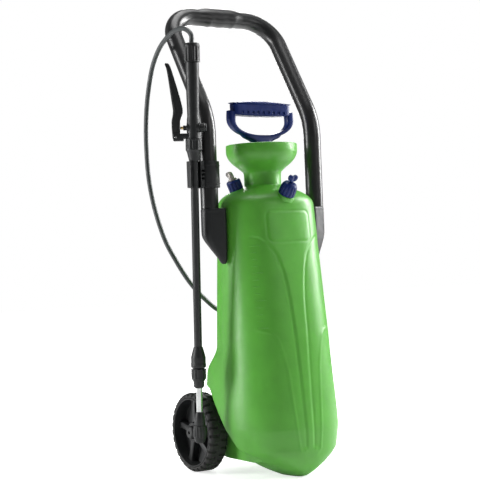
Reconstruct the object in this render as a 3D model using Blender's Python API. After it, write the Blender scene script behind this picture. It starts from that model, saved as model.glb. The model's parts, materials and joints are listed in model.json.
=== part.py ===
"""Trolley pressure sprayer: a tank with its own filling funnel, a hand pump, a handle frame, two wheels, and a
trigger lance on a hose. Metres, +Z up, -Y is the front, the origin is on the floor under the pump."""

from math import atan2, cos, pi, sin, sqrt

import bmesh
import bpy
from mathutils import Vector

GAP = 0.0003

# Tank: half width, depth in front of the pump axis and behind it, at its shoulder, middle and foot.
SHOULDER_Z = 0.495
SHOULDER_RISE = 0.048
SHOULDER_CURVE = 2.2
SHOULDER_SIZE = (0.0935, 0.078, 0.053)
MIDDLE_Z = 0.255
MIDDLE_SIZE = (0.103, 0.109, 0.062)
FOOT_Z = 0.090
FOOT_SIZE = (0.111, 0.124, 0.106)
FOOT_ROUND = 0.052
FOOT_INSET = (0.060, 0.034, 0.052)
CORNER_POWER = 2.6
WALL = 0.004
NECK_R = 0.0350
NECK_BORE_R = 0.0303
NECK_TOP_Z = 0.566
FUNNEL_R = 0.0670
FUNNEL_TOP_Z = 0.6164
FUNNEL_WALL = 0.0032
SEAT_Z = 0.5800

# Wheels and axle.
WHEEL_R = 0.075
WHEEL_OUT_X = 0.121
WHEEL_W = 0.0384
AXLE_Y = 0.0984
AXLE_R = 0.006
ARCH_Y = -0.0157
ARCH_Z = 0.0796
ARCH_SLOPE = 0.84
ARCH_ROOF_Z = 0.159
ARCH_IN_X = 0.0745

# Handle frame.
LEG_X = 0.120
TUBE_R = 0.0165
TUBE_WALL = 0.0028
LEG_FOOT_Z = 0.4970
BEND_Z = 0.633
BEND_R = 0.110
LEAN = 0.565
CORNER_R = 0.062
TOP_Z = 0.8785
SCREW_LEVELS = (("upper", 0.475), ("lower", 0.425))
SCREW_Y = -0.012
SADDLE_SCREW_X = 0.030
SADDLE_SCREW_LIFT = 0.016

# Pump.
BARREL_R = 0.0228
BARREL_BORE_R = 0.0203
BARREL_FOOT_Z = 0.150
ROD_R = 0.0065

# Lance, along its own axis, which leans a little to the back at its foot.
WAND_FOOT = (-0.155, 0.0101, 0.0)
WAND_LEAN = 0.032
LEVER_TURN = atan2(0.56, -0.83)
LANCE_R = 0.0073
LANCE_BORE_R = 0.0058
INNER_R = 0.0055
VALVE_Z = 0.645
PIVOT_R = 0.0318
PIVOT_Z = 0.628

# Fittings on the shoulder: foot and direction.
RELIEF_FOOT = Vector((0.0040, -0.0700, 0.5182))
RELIEF_DIR = Vector((0.080, -0.560, 0.820)).normalized()
OUTLET_FOOT = Vector((-0.0530, 0.0100, 0.5315))
OUTLET_DIR = Vector((-0.400, 0.0, 0.917)).normalized()
ELBOW_DIR = Vector((0.447, 0.894, 0.0)).normalized()
ELBOW_LIFT = 0.0330

# Hose: its route from the lance's nut to the outlet elbow.
HOSE_R = 0.0044
HOSE_ROUTE = (
    (-0.155, -0.0160, 0.8120),
    (-0.155, -0.0060, 0.8220),
    (-0.155, 0.0150, 0.8305),
    (-0.155, 0.0470, 0.8305),
    (-0.155, 0.0785, 0.8204),
    (-0.155, 0.1070, 0.8036),
    (-0.155, 0.1343, 0.7723),
    (-0.155, 0.1552, 0.7220),
    (-0.153, 0.1690, 0.6740),
    (-0.152, 0.1735, 0.6248),
    (-0.1490, 0.1740, 0.5640),
    (-0.1420, 0.1670, 0.5040),
    (-0.1310, 0.1520, 0.4445),
    (-0.1150, 0.1395, 0.4024),
    (-0.0990, 0.1310, 0.3706),
    (-0.0870, 0.1255, 0.3517),
    (-0.0700, 0.1240, 0.3330),
    (-0.0370, 0.1235, 0.3055),
    (-0.0050, 0.1240, 0.2930),
    (0.0260, 0.1240, 0.2980),
    (0.0490, 0.1220, 0.3230),
    (0.0570, 0.1170, 0.3620),
    (0.0530, 0.1090, 0.4070),
    (0.0410, 0.0990, 0.4520),
    (0.0240, 0.0900, 0.4950),
    (0.0040, 0.0830, 0.5320),
    (-0.0180, 0.0750, 0.5545),
)
HOSE_STEP = 0.0240

COLOURS = {
    "green": ((0.105, 0.42, 0.035), 0.42, 0.0),
    "blue": ((0.008, 0.022, 0.16), 0.38, 0.0),
    "black": ((0.012, 0.013, 0.014), 0.50, 0.0),
    "frame": ((0.016, 0.017, 0.018), 0.38, 0.0),
    "tyre": ((0.020, 0.020, 0.021), 0.75, 0.0),
    "rubber": ((0.012, 0.012, 0.012), 0.85, 0.0),
    "steel": ((0.62, 0.62, 0.60), 0.25, 1.0),
    "brass": ((0.60, 0.45, 0.20), 0.30, 1.0),
    "natural": ((0.70, 0.70, 0.66), 0.40, 0.0),
    "hose": ((0.035, 0.036, 0.036), 0.42, 0.0),
}


def clear_scene():
    for obj in list(bpy.data.objects):
        bpy.data.objects.remove(obj, do_unlink=True)


def material(name):
    if name in bpy.data.materials:
        return bpy.data.materials[name]
    colour, roughness, metallic = COLOURS[name]
    made = bpy.data.materials.new(name)
    made.use_nodes = True
    shader = made.node_tree.nodes["Principled BSDF"]
    shader.inputs["Base Color"].default_value = (*colour, 1.0)
    shader.inputs["Roughness"].default_value = roughness
    shader.inputs["Metallic"].default_value = metallic
    made.diffuse_color = (*colour, 1.0)
    return made


def mesh_piece(name, points, faces, finish, parent=None):
    """A smooth-shaded mesh object from points and faces, with its faces turned outwards."""
    mesh = bpy.data.meshes.new(name)
    shape = bmesh.new()
    corners = [shape.verts.new(point) for point in points]
    for face in faces:
        shape.faces.new([corners[i] for i in face])
    bmesh.ops.recalc_face_normals(shape, faces=shape.faces)
    shape.to_mesh(mesh)
    shape.free()
    mesh.shade_smooth()
    mesh.set_sharp_from_angle(angle=0.6)
    mesh.materials.append(material(finish))
    piece = bpy.data.objects.new(name, mesh)
    piece.parent = parent
    bpy.context.scene.collection.objects.link(piece)
    return piece


def loft(name, rings, finish, parent=None, closed=False):
    """A skin over rings of equal length, with flat end caps, or joined end to end when closed."""
    count = len(rings[0])
    points = [point for ring in rings for point in ring]
    faces = []
    last = len(rings) if closed else len(rings) - 1
    for i in range(last):
        j = (i + 1) % len(rings)
        for k in range(count):
            m = (k + 1) % count
            faces.append((i * count + k, i * count + m, j * count + m, j * count + k))
    if not closed:
        faces.append(tuple(range(count)))
        faces.append(tuple(range((len(rings) - 1) * count, len(rings) * count)))
    return mesh_piece(name, points, faces, finish, parent)


def turned(name, profile, finish, parent=None, sides=16, closed=False):
    """A profile of (radius, height) turned about Z. A closed profile gives a hollow ring."""
    rings = []
    for radius, height in profile:
        ring = []
        for k in range(sides):
            angle = 2 * pi * k / sides
            ring.append((radius * cos(angle), radius * sin(angle), height))
        rings.append(ring)
    return loft(name, rings, finish, parent, closed)


def prism(name, outline, low, high, finish, parent=None):
    """An outline in X and Z, carried along Y from low to high."""
    rings = [[(x, y, z) for x, z in outline] for y in (low, high)]
    return loft(name, rings, finish, parent)


def block(name, low, high, finish, parent=None, bevel=0.0):
    """A box between two corners, with its edges bevelled."""
    outline = [(low[0], low[2]), (high[0], low[2]), (high[0], high[2]), (low[0], high[2])]
    piece = prism(name, outline, low[1], high[1], finish, parent)
    if bevel:
        rounding = piece.modifiers.new("bevel", "BEVEL")
        rounding.width = bevel
        rounding.segments = 2
    return piece


def point_along(piece, origin, direction):
    """Stands a piece turned about Z on origin, with its axis along direction."""
    piece.location = origin
    piece.rotation_mode = "QUATERNION"
    piece.rotation_quaternion = Vector(direction).to_track_quat("Z", "Y")
    return piece


def lie_along_x(piece, origin):
    """Stands a piece turned about Z on origin, with its axis along +X."""
    piece.location = origin
    piece.rotation_euler = (0.0, pi / 2, 0.0)
    return piece


def boolean(piece, tool, operation="DIFFERENCE"):
    """Joins or cuts a piece with a helper that isn't part of the object."""
    tool.hide_render = True
    tool.display_type = "WIRE"
    change = piece.modifiers.new(tool.name, "BOOLEAN")
    change.object = tool
    change.operation = operation
    change.solver = "EXACT"


def empty(name, location, rotation=(0.0, 0.0, 0.0), parent=None):
    made = bpy.data.objects.new(name, None)
    made.location = location
    made.rotation_euler = rotation
    made.parent = parent
    bpy.context.scene.collection.objects.link(made)
    return made


def smooth_route(route, start_dir, end_dir):
    """Points at an even step on a Catmull-Rom curve through the route."""
    points = [Vector(point) for point in route]
    points = [points[0] - start_dir, *points, points[-1] + end_dir]
    fine = []
    for a, b, c, d in zip(points, points[1:], points[2:], points[3:]):
        for i in range(12):
            t = i / 12
            fine.append(
                0.5 * (2 * b + (c - a) * t + (2 * a - 5 * b + 4 * c - d) * t * t)
                + 0.5 * (3 * b - a - 3 * c + d) * t * t * t
            )
    fine.append(points[-2])
    length = sum((q - p).length for p, q in zip(fine, fine[1:]))
    steps = round(length / HOSE_STEP)
    spaced = [fine[0]]
    walked = 0.0
    for p, q in zip(fine, fine[1:]):
        step = (q - p).length
        while len(spaced) < steps and walked + step >= len(spaced) * length / steps:
            part = (len(spaced) * length / steps - walked) / step
            spaced.append(p.lerp(q, part))
        walked += step
    spaced.append(fine[-1])
    return spaced


def tube(name, points, radius, finish, sides=3, parent=None, caps=True, swell=None):
    """A round bar along points, as a curve with a bevel and filled caps."""
    curve = bpy.data.curves.new(name, "CURVE")
    curve.dimensions = "3D"
    curve.bevel_depth = radius
    curve.bevel_resolution = sides
    curve.use_fill_caps = caps
    spline = curve.splines.new("POLY")
    spline.points.add(len(points) - 1)
    for i, point in enumerate(points):
        spline.points[i].co = (*point, 1.0)
        spline.points[i].radius = swell[i] if swell else 1.0
    curve.materials.append(material(finish))
    piece = bpy.data.objects.new(name, curve)
    piece.parent = parent
    bpy.context.scene.collection.objects.link(piece)
    return piece


# --- Tank ---------------------------------------------------------------------------------------------------


def mix(a, b, t):
    return a + (b - a) * t


def body_size(z):
    """(half width, front depth, back depth) of the tank's straight body at a height."""
    if z > MIDDLE_Z:
        t = (z - MIDDLE_Z) / (SHOULDER_Z - MIDDLE_Z)
        return [mix(a, b, t) for a, b in zip(MIDDLE_SIZE, SHOULDER_SIZE)]
    t = min(1.0, (MIDDLE_Z - z) / (MIDDLE_Z - FOOT_Z))
    front = mix(MIDDLE_SIZE[1], FOOT_SIZE[1], t)
    ease = t * t * (3 - 2 * t)
    flare = min(1.0, max(0.0, (t - 0.08) / 0.32))
    flare = flare * flare * (3 - 2 * flare)
    return [mix(MIDDLE_SIZE[0], FOOT_SIZE[0], ease), front, mix(MIDDLE_SIZE[2], FOOT_SIZE[2], flare)]


def corner_power(z):
    """The back of the section is squarer where the tank swells over the wheels."""
    t = min(1.0, max(0.0, (MIDDLE_Z - z) / 0.09))
    return mix(CORNER_POWER, 3.3, t * t * (3 - 2 * t))


def section(size, back_power, z, count, grow=0.0):
    """A ring with superellipse quarters: one depth in front of the pump axis and another behind it."""
    half, front, back = (max(0.002, value + grow) for value in size)
    ring = []
    for k in range(count):
        angle = 2 * pi * k / count
        c, s = cos(angle), sin(angle)
        depth = back if s > 0 else front
        power = back_power if s > 0 else min(back_power, CORNER_POWER)
        x = half * abs(c) ** (2 / power) * (1 if c > 0 else -1)
        y = depth * abs(s) ** (2 / power) * (1 if s > 0 else -1)
        ring.append((x, y, z))
    return ring


def body_rings(count, grow, levels, shoulder):
    """Rings from the flat foot, round its edge and up the body, then over the shoulder to the neck."""
    rings = []
    foot_levels = 4
    for i in range(foot_levels):
        angle = pi / 2 * i / foot_levels
        z = FOOT_ROUND * (1 - cos(angle))
        size = [value - inset * (1 - sin(angle)) for value, inset in zip(body_size(z), FOOT_INSET)]
        rings.append(section(size, corner_power(z), z - grow, count, grow))
    for z in levels:
        rings.append(section(body_size(z), corner_power(z), z, count, grow))
    neck_share = NECK_R / SHOULDER_SIZE[0]
    for share in shoulder:
        z = SHOULDER_Z + SHOULDER_RISE * (1 - share**SHOULDER_CURVE) ** (1 / SHOULDER_CURVE)
        blend = ((1 - share) / (1 - neck_share)) ** 1.5
        size = [mix(value * share, NECK_R, blend) for value in SHOULDER_SIZE]
        rings.append(section(size, mix(CORNER_POWER, 2.0, blend), z + grow, count, grow))
    return rings


def circle_rings(profile, count):
    rings = []
    for radius, z in profile:
        turns = [2 * pi * k / count for k in range(count)]
        rings.append([(radius * cos(turn), radius * sin(turn), z) for turn in turns])
    return rings


BODY_LEVELS = (0.052, 0.100, 0.145, 0.175, 0.200, 0.225, 0.255, 0.375, 0.495)
SHOULDER_SHARES = (0.98, 0.92, 0.80, 0.60, 0.44)


def arch_cutter(name, side, grow):
    """The space for one wheel: behind a slanted face, under a level roof and outside the inner wall."""
    low_z = -0.05
    roof = ARCH_ROOF_Z + grow
    shift = grow * sqrt(1 + ARCH_SLOPE**2)
    outline = [
        (ARCH_Y - shift + ARCH_SLOPE * (low_z - ARCH_Z), low_z),
        (0.30, low_z),
        (0.30, roof),
        (ARCH_Y - shift + ARCH_SLOPE * (roof - ARCH_Z), roof),
    ]
    near = side * (ARCH_IN_X - grow)
    far = side * 0.30
    rings = [[(x, y, z) for y, z in outline] for x in (near, far)]
    return loft(name, rings, "black")


def make_tank():
    count = 28
    rings = body_rings(count, 0.0, BODY_LEVELS, SHOULDER_SHARES)
    lip_mid = FUNNEL_R - FUNNEL_WALL / 2
    outside = [
        (NECK_R, 0.5405),
        (NECK_R, NECK_TOP_Z),
        (0.0440, 0.5700),
        (0.0565, 0.5800),
        (0.0640, 0.5920),
        (FUNNEL_R, 0.6050),
        (FUNNEL_R, FUNNEL_TOP_Z - 0.0012),
        (lip_mid, FUNNEL_TOP_Z),
        (FUNNEL_R - FUNNEL_WALL, FUNNEL_TOP_Z - 0.0012),
        (FUNNEL_R - FUNNEL_WALL, 0.6060),
        (0.0600, 0.5945),
        (0.0525, 0.5840),
        (0.0450, SEAT_Z),
        (NECK_BORE_R, SEAT_Z),
        (NECK_BORE_R, 0.5460),
    ]
    tank = loft("tank", rings + circle_rings(outside, count), "green")
    for side, word in ((-1, "left"), (1, "right")):
        boolean(tank, arch_cutter(f"{word}_arch", side, 0.0))
    cavity_count = 20
    cavity_levels = (0.060, 0.120, 0.180, 0.255, 0.375, 0.492)
    cavity = loft(
        "tank_space",
        body_rings(cavity_count, -WALL, cavity_levels, (0.90, 0.70, 0.48))
        + circle_rings([(0.0298, 0.5350), (0.0298, 0.5490)], cavity_count),
        "black",
    )
    for side, word in ((-1, "left"), (1, "right")):
        boolean(cavity, arch_cutter(f"{word}_arch_wall", side, WALL))
        for place, height in SCREW_LEVELS:
            boss = turned(f"{word}_insert_{place}", [(0.008, 0.0), (0.008, 0.022)], "black", sides=8)
            lie_along_x(boss, (side * 0.0900 - 0.011, SCREW_Y, height))
            boolean(cavity, boss)
    axle_land = block("axle_land", (-0.10, 0.083, 0.04), (0.10, 0.20, 0.115), "black")
    boolean(cavity, axle_land)
    for word, foot, direction, radius, land in (
        ("relief", RELIEF_FOOT, RELIEF_DIR, 0.0105, 0.0168),
        ("outlet", OUTLET_FOOT, OUTLET_DIR, 0.0095, 0.0148),
    ):
        pad = turned(f"{word}_pad", [(land + 0.003, -0.0070), (land + 0.003, 0.030)], "green", sides=20)
        boolean(cavity, point_along(pad, foot, direction))
        flat = turned(f"{word}_flat", [(land, 0.0), (land, 0.020)], "green", sides=18)
        boolean(tank, point_along(flat, foot, direction))
        boss = turned(f"{word}_boss", [(radius, -0.0050), (radius, 0.0100)], "green", sides=20)
        boolean(tank, point_along(boss, foot, direction), "UNION")
    boolean(tank, cavity)
    for word, foot, direction, radius in (
        ("relief", RELIEF_FOOT, RELIEF_DIR, 0.0040),
        ("outlet", OUTLET_FOOT, OUTLET_DIR, 0.0060),
    ):
        hole = turned(f"{word}_hole", [(radius, -0.030), (radius, 0.0200)], "black", sides=16)
        boolean(tank, point_along(hole, foot, direction))
    groove = turned("axle_groove", [(AXLE_R + GAP, -0.10), (AXLE_R + GAP, 0.10)], "black", sides=16)
    boolean(tank, lie_along_x(groove, (0.0, AXLE_Y, WHEEL_R)))
    flat = block("axle_flat", (-0.09, AXLE_Y, 0.030), (0.09, 0.20, 0.120), "black")
    boolean(tank, flat)
    for side in (-1, 1):
        hole = turned(f"saddle_hole_{side}", [(0.0022, -0.012), (0.0022, 0.02)], "black", sides=8)
        saddle_foot = (side * SADDLE_SCREW_X, AXLE_Y, WHEEL_R + SADDLE_SCREW_LIFT)
        boolean(tank, point_along(hole, saddle_foot, (0.0, 1.0, 0.0)))
        for place, height in SCREW_LEVELS:
            name = f"bracket_hole_{side}_{place}"
            hole = turned(name, [(0.0024, 0.0), (0.0024, 0.03)], "black", sides=8)
            lie_along_x(hole, (side * 0.0985 - 0.015, SCREW_Y, height))
            boolean(tank, hole)


# --- Handle frame -------------------------------------------------------------------------------------------


def frame_side():
    """Half of the frame's centre line, from the left leg's foot to the middle of the top bar."""
    points = [Vector((-LEG_X, 0.0, LEG_FOOT_Z)), Vector((-LEG_X, 0.0, 0.565))]
    for i in range(6):
        angle = LEAN * i / 5
        y = BEND_R * (1 - cos(angle))
        z = BEND_Z + BEND_R * sin(angle)
        points.append(Vector((-LEG_X, y, z)))
    up = Vector((0.0, sin(LEAN), cos(LEAN)))
    foot = points[-1]
    rise = (TOP_Z - foot.z) / cos(LEAN) - CORNER_R
    points.append(foot + up * rise * 0.5)
    centre = foot + up * rise + Vector((CORNER_R, 0.0, 0.0))
    for i in range(9):
        angle = pi / 2 * i / 8
        points.append(centre + Vector((-CORNER_R * cos(angle), 0.0, 0.0)) + up * CORNER_R * sin(angle))
    return points


def make_frame_tube():
    half = frame_side()
    middle = [Vector((x, half[-1].y, half[-1].z + 0.003)) for x in (-0.030, 0.0, 0.030)]
    other = [Vector((-point.x, point.y, point.z)) for point in reversed(half)]
    points = half + middle + other
    swell = [1.0] * len(half) + [1.08, 1.10, 1.08] + [1.0] * len(other)
    frame = tube("frame_tube", points, TUBE_R, "frame", sides=3, caps=False, swell=swell)
    wall = frame.modifiers.new("wall", "SOLIDIFY")
    wall.thickness = TUBE_WALL
    wall.offset = -1.0


def hull_ring(first, second, z, count):
    """The outline around two circles (x, y, radius): the farther circle's edge in each direction."""
    ring = []
    for k in range(count):
        angle = 2 * pi * k / count
        normal = (cos(angle), sin(angle))
        reach = [x * normal[0] + y * normal[1] + radius for x, y, radius in (first, second)]
        x, y, radius = first if reach[0] >= reach[1] else second
        ring.append((x + radius * normal[0], y + radius * normal[1], z))
    return ring


def make_bracket(side, word):
    """A moulded foot that carries one leg: a spigot in the tube, a sleeve and a flank along the tank."""
    sleeve = (side * LEG_X, 0.0, TUBE_R + 0.0006)
    flank = (side * 0.1035, -0.0180, 0.0065)
    count = 18
    levels = (
        (0.3940, 0.92, 0.35),
        (0.3965, 0.90, 0.60),
        (0.4040, 0.80, 0.80),
        (0.4200, 0.48, 0.95),
        (0.4360, 0.16, 1.0),
        (0.4480, 0.0, 1.0),
        (LEG_FOOT_Z - GAP, 0.0, 1.0),
    )
    rings = []
    for z, share, full in levels:
        low = [mix(a, b, share) for a, b in zip(sleeve, flank)]
        low[2] *= full
        rings.append(hull_ring(low, (flank[0], flank[1], flank[2] * full), z, count))
    bracket = loft(f"{word}_bracket", rings, "black")
    inner_r = TUBE_R - TUBE_WALL - 0.0010
    spigot = turned(f"{word}_spigot", [(inner_r, 0.450), (inner_r, 0.536), (inner_r - 0.002, 0.538)], "black")
    spigot.location = (side * LEG_X, 0.0, 0.0)
    boolean(bracket, spigot, "UNION")
    levels = (0.36, 0.415, 0.495)
    skin = [section(body_size(z), corner_power(z), z, 36, 0.0005) for z in levels]
    top = [mix(value, value * 0.97, 0.5) for value in body_size(0.505)]
    skin.append(section(top, CORNER_POWER, 0.505, 36, 0.0005))
    boolean(bracket, loft(f"{word}_tank_side", skin, "black"))
    for place, height in SCREW_LEVELS:
        hole = turned(f"{word}_{place}_way", [(0.0024, 0.0), (0.0024, 0.030)], "black", sides=8)
        lie_along_x(hole, (side * 0.1000 - 0.015, SCREW_Y, height))
        boolean(bracket, hole)
        sink = turned(f"{word}_{place}_sink", [(0.0052, 0.0), (0.0052, 0.030)], "black", sides=8)
        lie_along_x(sink, (side * 0.1240 - 0.015, SCREW_Y, height))
        boolean(bracket, sink)
        screw = turned(
            f"{word}_bracket_screw_{place}",
            [(0.0021, 0.0900), (0.0021, 0.1093), (0.0048, 0.1093), (0.0048, 0.1125), (0.0036, 0.1135)],
            "steel",
            sides=8,
        )
        screw.location = (0.0, SCREW_Y, height)
        screw.rotation_euler = (0.0, side * pi / 2, 0.0)


def make_lance_clip():
    """A sleeve round the left leg with a U that opens to the front and holds the lance."""
    z_low, z_high = 0.5350, 0.5835
    inner = TUBE_R + 0.0005
    outer = inner + 0.0035
    clip = turned(
        "lance_clip",
        [(inner, z_low), (outer, z_low), (outer, z_high), (inner, z_high)],
        "black",
        sides=18,
        closed=True,
    )
    clip.location = (-LEG_X, 0.0, 0.0)
    wand_y = WAND_FOOT[1] - WAND_LEAN * 0.566
    hold = LANCE_R + 0.0014
    outline = [
        (WAND_FOOT[0] - hold - 0.0045, wand_y - 0.0080),
        (WAND_FOOT[0] - hold, wand_y - 0.0080),
        (WAND_FOOT[0] - hold, wand_y),
    ]
    for i in range(1, 8):
        angle = pi - pi * i / 8
        outline.append((WAND_FOOT[0] + hold * cos(angle), wand_y + hold * sin(angle)))
    outline += [
        (WAND_FOOT[0] + hold, wand_y),
        (WAND_FOOT[0] + hold, wand_y - 0.0080),
        (WAND_FOOT[0] + hold + 0.0040, wand_y - 0.0080),
        (-LEG_X - inner - 0.0010, 0.0040),
        (-LEG_X - inner - 0.0010, 0.0100),
        (WAND_FOOT[0] + 0.0050, wand_y + hold + 0.0045),
        (WAND_FOOT[0] - 0.0060, wand_y + hold + 0.0040),
        (WAND_FOOT[0] - hold - 0.0045, wand_y + 0.0050),
    ]
    rings = [[(x + LEG_X, y, z) for x, y in outline] for z in (z_low, z_high)]
    boolean(clip, loft("clip_jaw", rings, "black", parent=clip), "UNION")


# --- Wheels -------------------------------------------------------------------------------------------------


def make_wheel(side, word):
    """A moulded disc wheel with five spokes, and a tyre with a plain tread, turned about the axle."""
    centre_x = WHEEL_OUT_X - WHEEL_W / 2
    half = WHEEL_W / 2
    hub = empty(f"{word}_wheel_axis", (side * centre_x, AXLE_Y, WHEEL_R), (0.0, side * pi / 2, 0.0))
    turned(
        f"{word}_tyre",
        [
            (WHEEL_R - 0.0095, -half),
            (WHEEL_R - 0.0030, -half),
            (WHEEL_R, -half + 0.0035),
            (WHEEL_R, half - 0.0035),
            (WHEEL_R - 0.0030, half),
            (WHEEL_R - 0.0095, half),
        ],
        "tyre",
        parent=hub,
        sides=28,
        closed=True,
    )
    rim_r = WHEEL_R - 0.0095 - GAP
    web = -half + 0.010
    disc = turned(
        f"{word}_wheel",
        [
            (0.0064, -half - 0.0010),
            (0.0170, -half - 0.0010),
            (0.0170, web),
            (rim_r - 0.0035, web),
            (rim_r - 0.0035, -half),
            (rim_r, -half),
            (rim_r, half),
            (rim_r - 0.0035, half),
            (rim_r - 0.0035, web + 0.0035),
            (0.0190, web + 0.0035),
            (0.0190, half - 0.0040),
            (0.0064, half - 0.0040),
        ],
        "black",
        parent=hub,
        sides=28,
        closed=True,
    )
    for i in range(5):
        angle = 2 * pi * i / 5
        foot, edge = 0.012, rim_r - 0.0015
        outline = [(foot, web - 0.001), (edge, web - 0.001), (edge, half - 0.013), (foot, half - 0.008)]
        spoke = prism(f"{word}_spoke_{i}", outline, -0.0045, 0.0045, "black", parent=hub)
        spoke.rotation_euler = (0.0, 0.0, angle + 0.16)
        boolean(disc, spoke, "UNION")
    turned(
        f"{word}_hub_cap",
        [
            (AXLE_R + GAP, half - 0.0036),
            (0.0125, half - 0.0036),
            (0.0125, half + 0.0010),
            (0.0100, half + 0.0035),
            (0.0030, half + 0.0040),
            (0.0030, half + 0.0025),
            (AXLE_R + GAP, half + 0.0020),
        ],
        "black",
        parent=hub,
        sides=20,
        closed=True,
    )


def make_axle():
    reach = WHEEL_OUT_X + 0.0015
    axle = turned("axle", [(AXLE_R, -reach), (AXLE_R, reach)], "steel", sides=20)
    lie_along_x(axle, (0.0, AXLE_Y, WHEEL_R))
    saddle = block(
        "axle_saddle",
        (-0.042, AXLE_Y + GAP, WHEEL_R - 0.0125),
        (0.042, AXLE_Y + 0.0110, WHEEL_R + 0.0240),
        "black",
        bevel=0.002,
    )
    groove = turned("saddle_groove", [(AXLE_R + GAP, -0.06), (AXLE_R + GAP, 0.06)], "black", sides=20)
    boolean(saddle, lie_along_x(groove, (0.0, AXLE_Y, WHEEL_R)))
    for side, word in ((-1, "left"), (1, "right")):
        foot = Vector((side * SADDLE_SCREW_X, AXLE_Y, WHEEL_R + SADDLE_SCREW_LIFT))
        hole = turned(f"{word}_saddle_way", [(0.0025, -0.02), (0.0025, 0.02)], "black", sides=8)
        boolean(saddle, point_along(hole, foot, (0.0, 1.0, 0.0)))
        screw = turned(
            f"saddle_screw_{word}",
            [(0.0019, -0.0110), (0.0019, 0.0113), (0.0042, 0.0113), (0.0042, 0.0135), (0.0030, 0.0146)],
            "steel",
            sides=8,
        )
        point_along(screw, foot, (0.0, 1.0, 0.0))


# --- Pump ---------------------------------------------------------------------------------------------------


def ring_profile(major, minor, height, count=6):
    """The round section of an O-ring."""
    turns = [2 * pi * i / count for i in range(count)]
    return [(major + minor * cos(turn), height + minor * sin(turn)) for turn in turns]


def make_pump():
    seal = ring_profile(0.0352, 0.0012, SEAT_Z + 0.0015)
    turned("pump_seal_ring", seal, "rubber", sides=20, closed=True)
    turned(
        "pump_head",
        [
            (ROD_R + GAP, 0.5905),
            (ROD_R + GAP, 0.5778),
            (BARREL_R + GAP, 0.5778),
            (BARREL_R + GAP, 0.5480),
            (NECK_BORE_R - 0.0004, 0.5480),
            (NECK_BORE_R - 0.0004, SEAT_Z + 0.0030),
            (0.0405, SEAT_Z + 0.0030),
            (0.0405, 0.5885),
            (0.0385, 0.5905),
        ],
        "black",
        sides=20,
        closed=True,
    )
    turned(
        "pump_barrel",
        [
            (BARREL_R, 0.5775),
            (BARREL_R, BARREL_FOOT_Z),
            (0.0060, BARREL_FOOT_Z),
            (0.0060, BARREL_FOOT_Z + 0.004),
            (BARREL_BORE_R, BARREL_FOOT_Z + 0.004),
            (BARREL_BORE_R, 0.5775),
        ],
        "natural",
        sides=18,
        closed=True,
    )
    foot = BARREL_FOOT_Z
    turned(
        "foot_valve",
        [
            (0.0130, foot - 0.0035),
            (0.0130, foot - GAP),
            (0.0055, foot - GAP),
            (0.0055, foot + 0.0043),
            (0.0078, foot + 0.0043),
            (0.0060, foot + 0.0075),
        ],
        "rubber",
        sides=16,
    )
    turned(
        "piston",
        [
            (ROD_R + GAP, 0.1700),
            (0.0198, 0.1700),
            (0.0198, 0.1780),
            (0.0165, 0.1780),
            (0.0165, 0.1825),
            (0.0198, 0.1825),
            (0.0198, 0.1900),
            (ROD_R + GAP, 0.1900),
        ],
        "natural",
        sides=18,
        closed=True,
    )
    turned("piston_ring", ring_profile(0.0184, 0.0016, 0.18025), "rubber", sides=18, closed=True)
    turned("pump_rod", [(ROD_R, 0.1640), (ROD_R, 0.6180)], "natural", sides=16)


def handle_outline(width, drop, low, high, power, count):
    """The lower half of a superellipse, from its half width, its drop below the straight top and its top."""
    points = [(width, high)]
    for i in range(count + 1):
        angle = pi * i / count
        c, s = cos(angle), sin(angle)
        x = width * abs(c) ** (2 / power) * (1 if c >= 0 else -1)
        points.append((x, low - drop * abs(s) ** (2 / power)))
    points.append((-width, high))
    return points


def make_pump_handle():
    """A D-shaped loop with a thick grip bar, a cover over the bar and a neck on the pump rod."""
    outside = handle_outline(0.0712, 0.0360, 0.6640, 0.6720, 2.1, 20)
    loop = prism("pump_handle", outside, -0.0085, 0.0085, "blue")
    inside = handle_outline(0.0575, 0.0270, 0.6610, 0.6710, 2.3, 16)
    boolean(loop, prism("handle_space", inside, -0.02, 0.02, "blue"))
    bar = block("handle_bar", (-0.0640, -0.0120, 0.6700), (0.0640, 0.0120, 0.6925), "blue")
    boolean(loop, bar, "UNION")
    neck_profile = [(0.0120, 0.5912), (0.0150, 0.5935), (0.0150, 0.6200), (0.0185, 0.6345)]
    boolean(loop, turned("handle_neck", neck_profile, "blue", sides=18), "UNION")
    bore = turned("handle_bore", [(ROD_R + GAP, 0.585), (ROD_R + GAP, 0.6185)], "blue", sides=16)
    boolean(loop, bore)
    block("handle_cover", (-0.0650, -0.0135, 0.6928), (0.0650, 0.0135, 0.6982), "blue", bevel=0.0015)


# --- Shoulder fittings --------------------------------------------------------------------------------------


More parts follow.
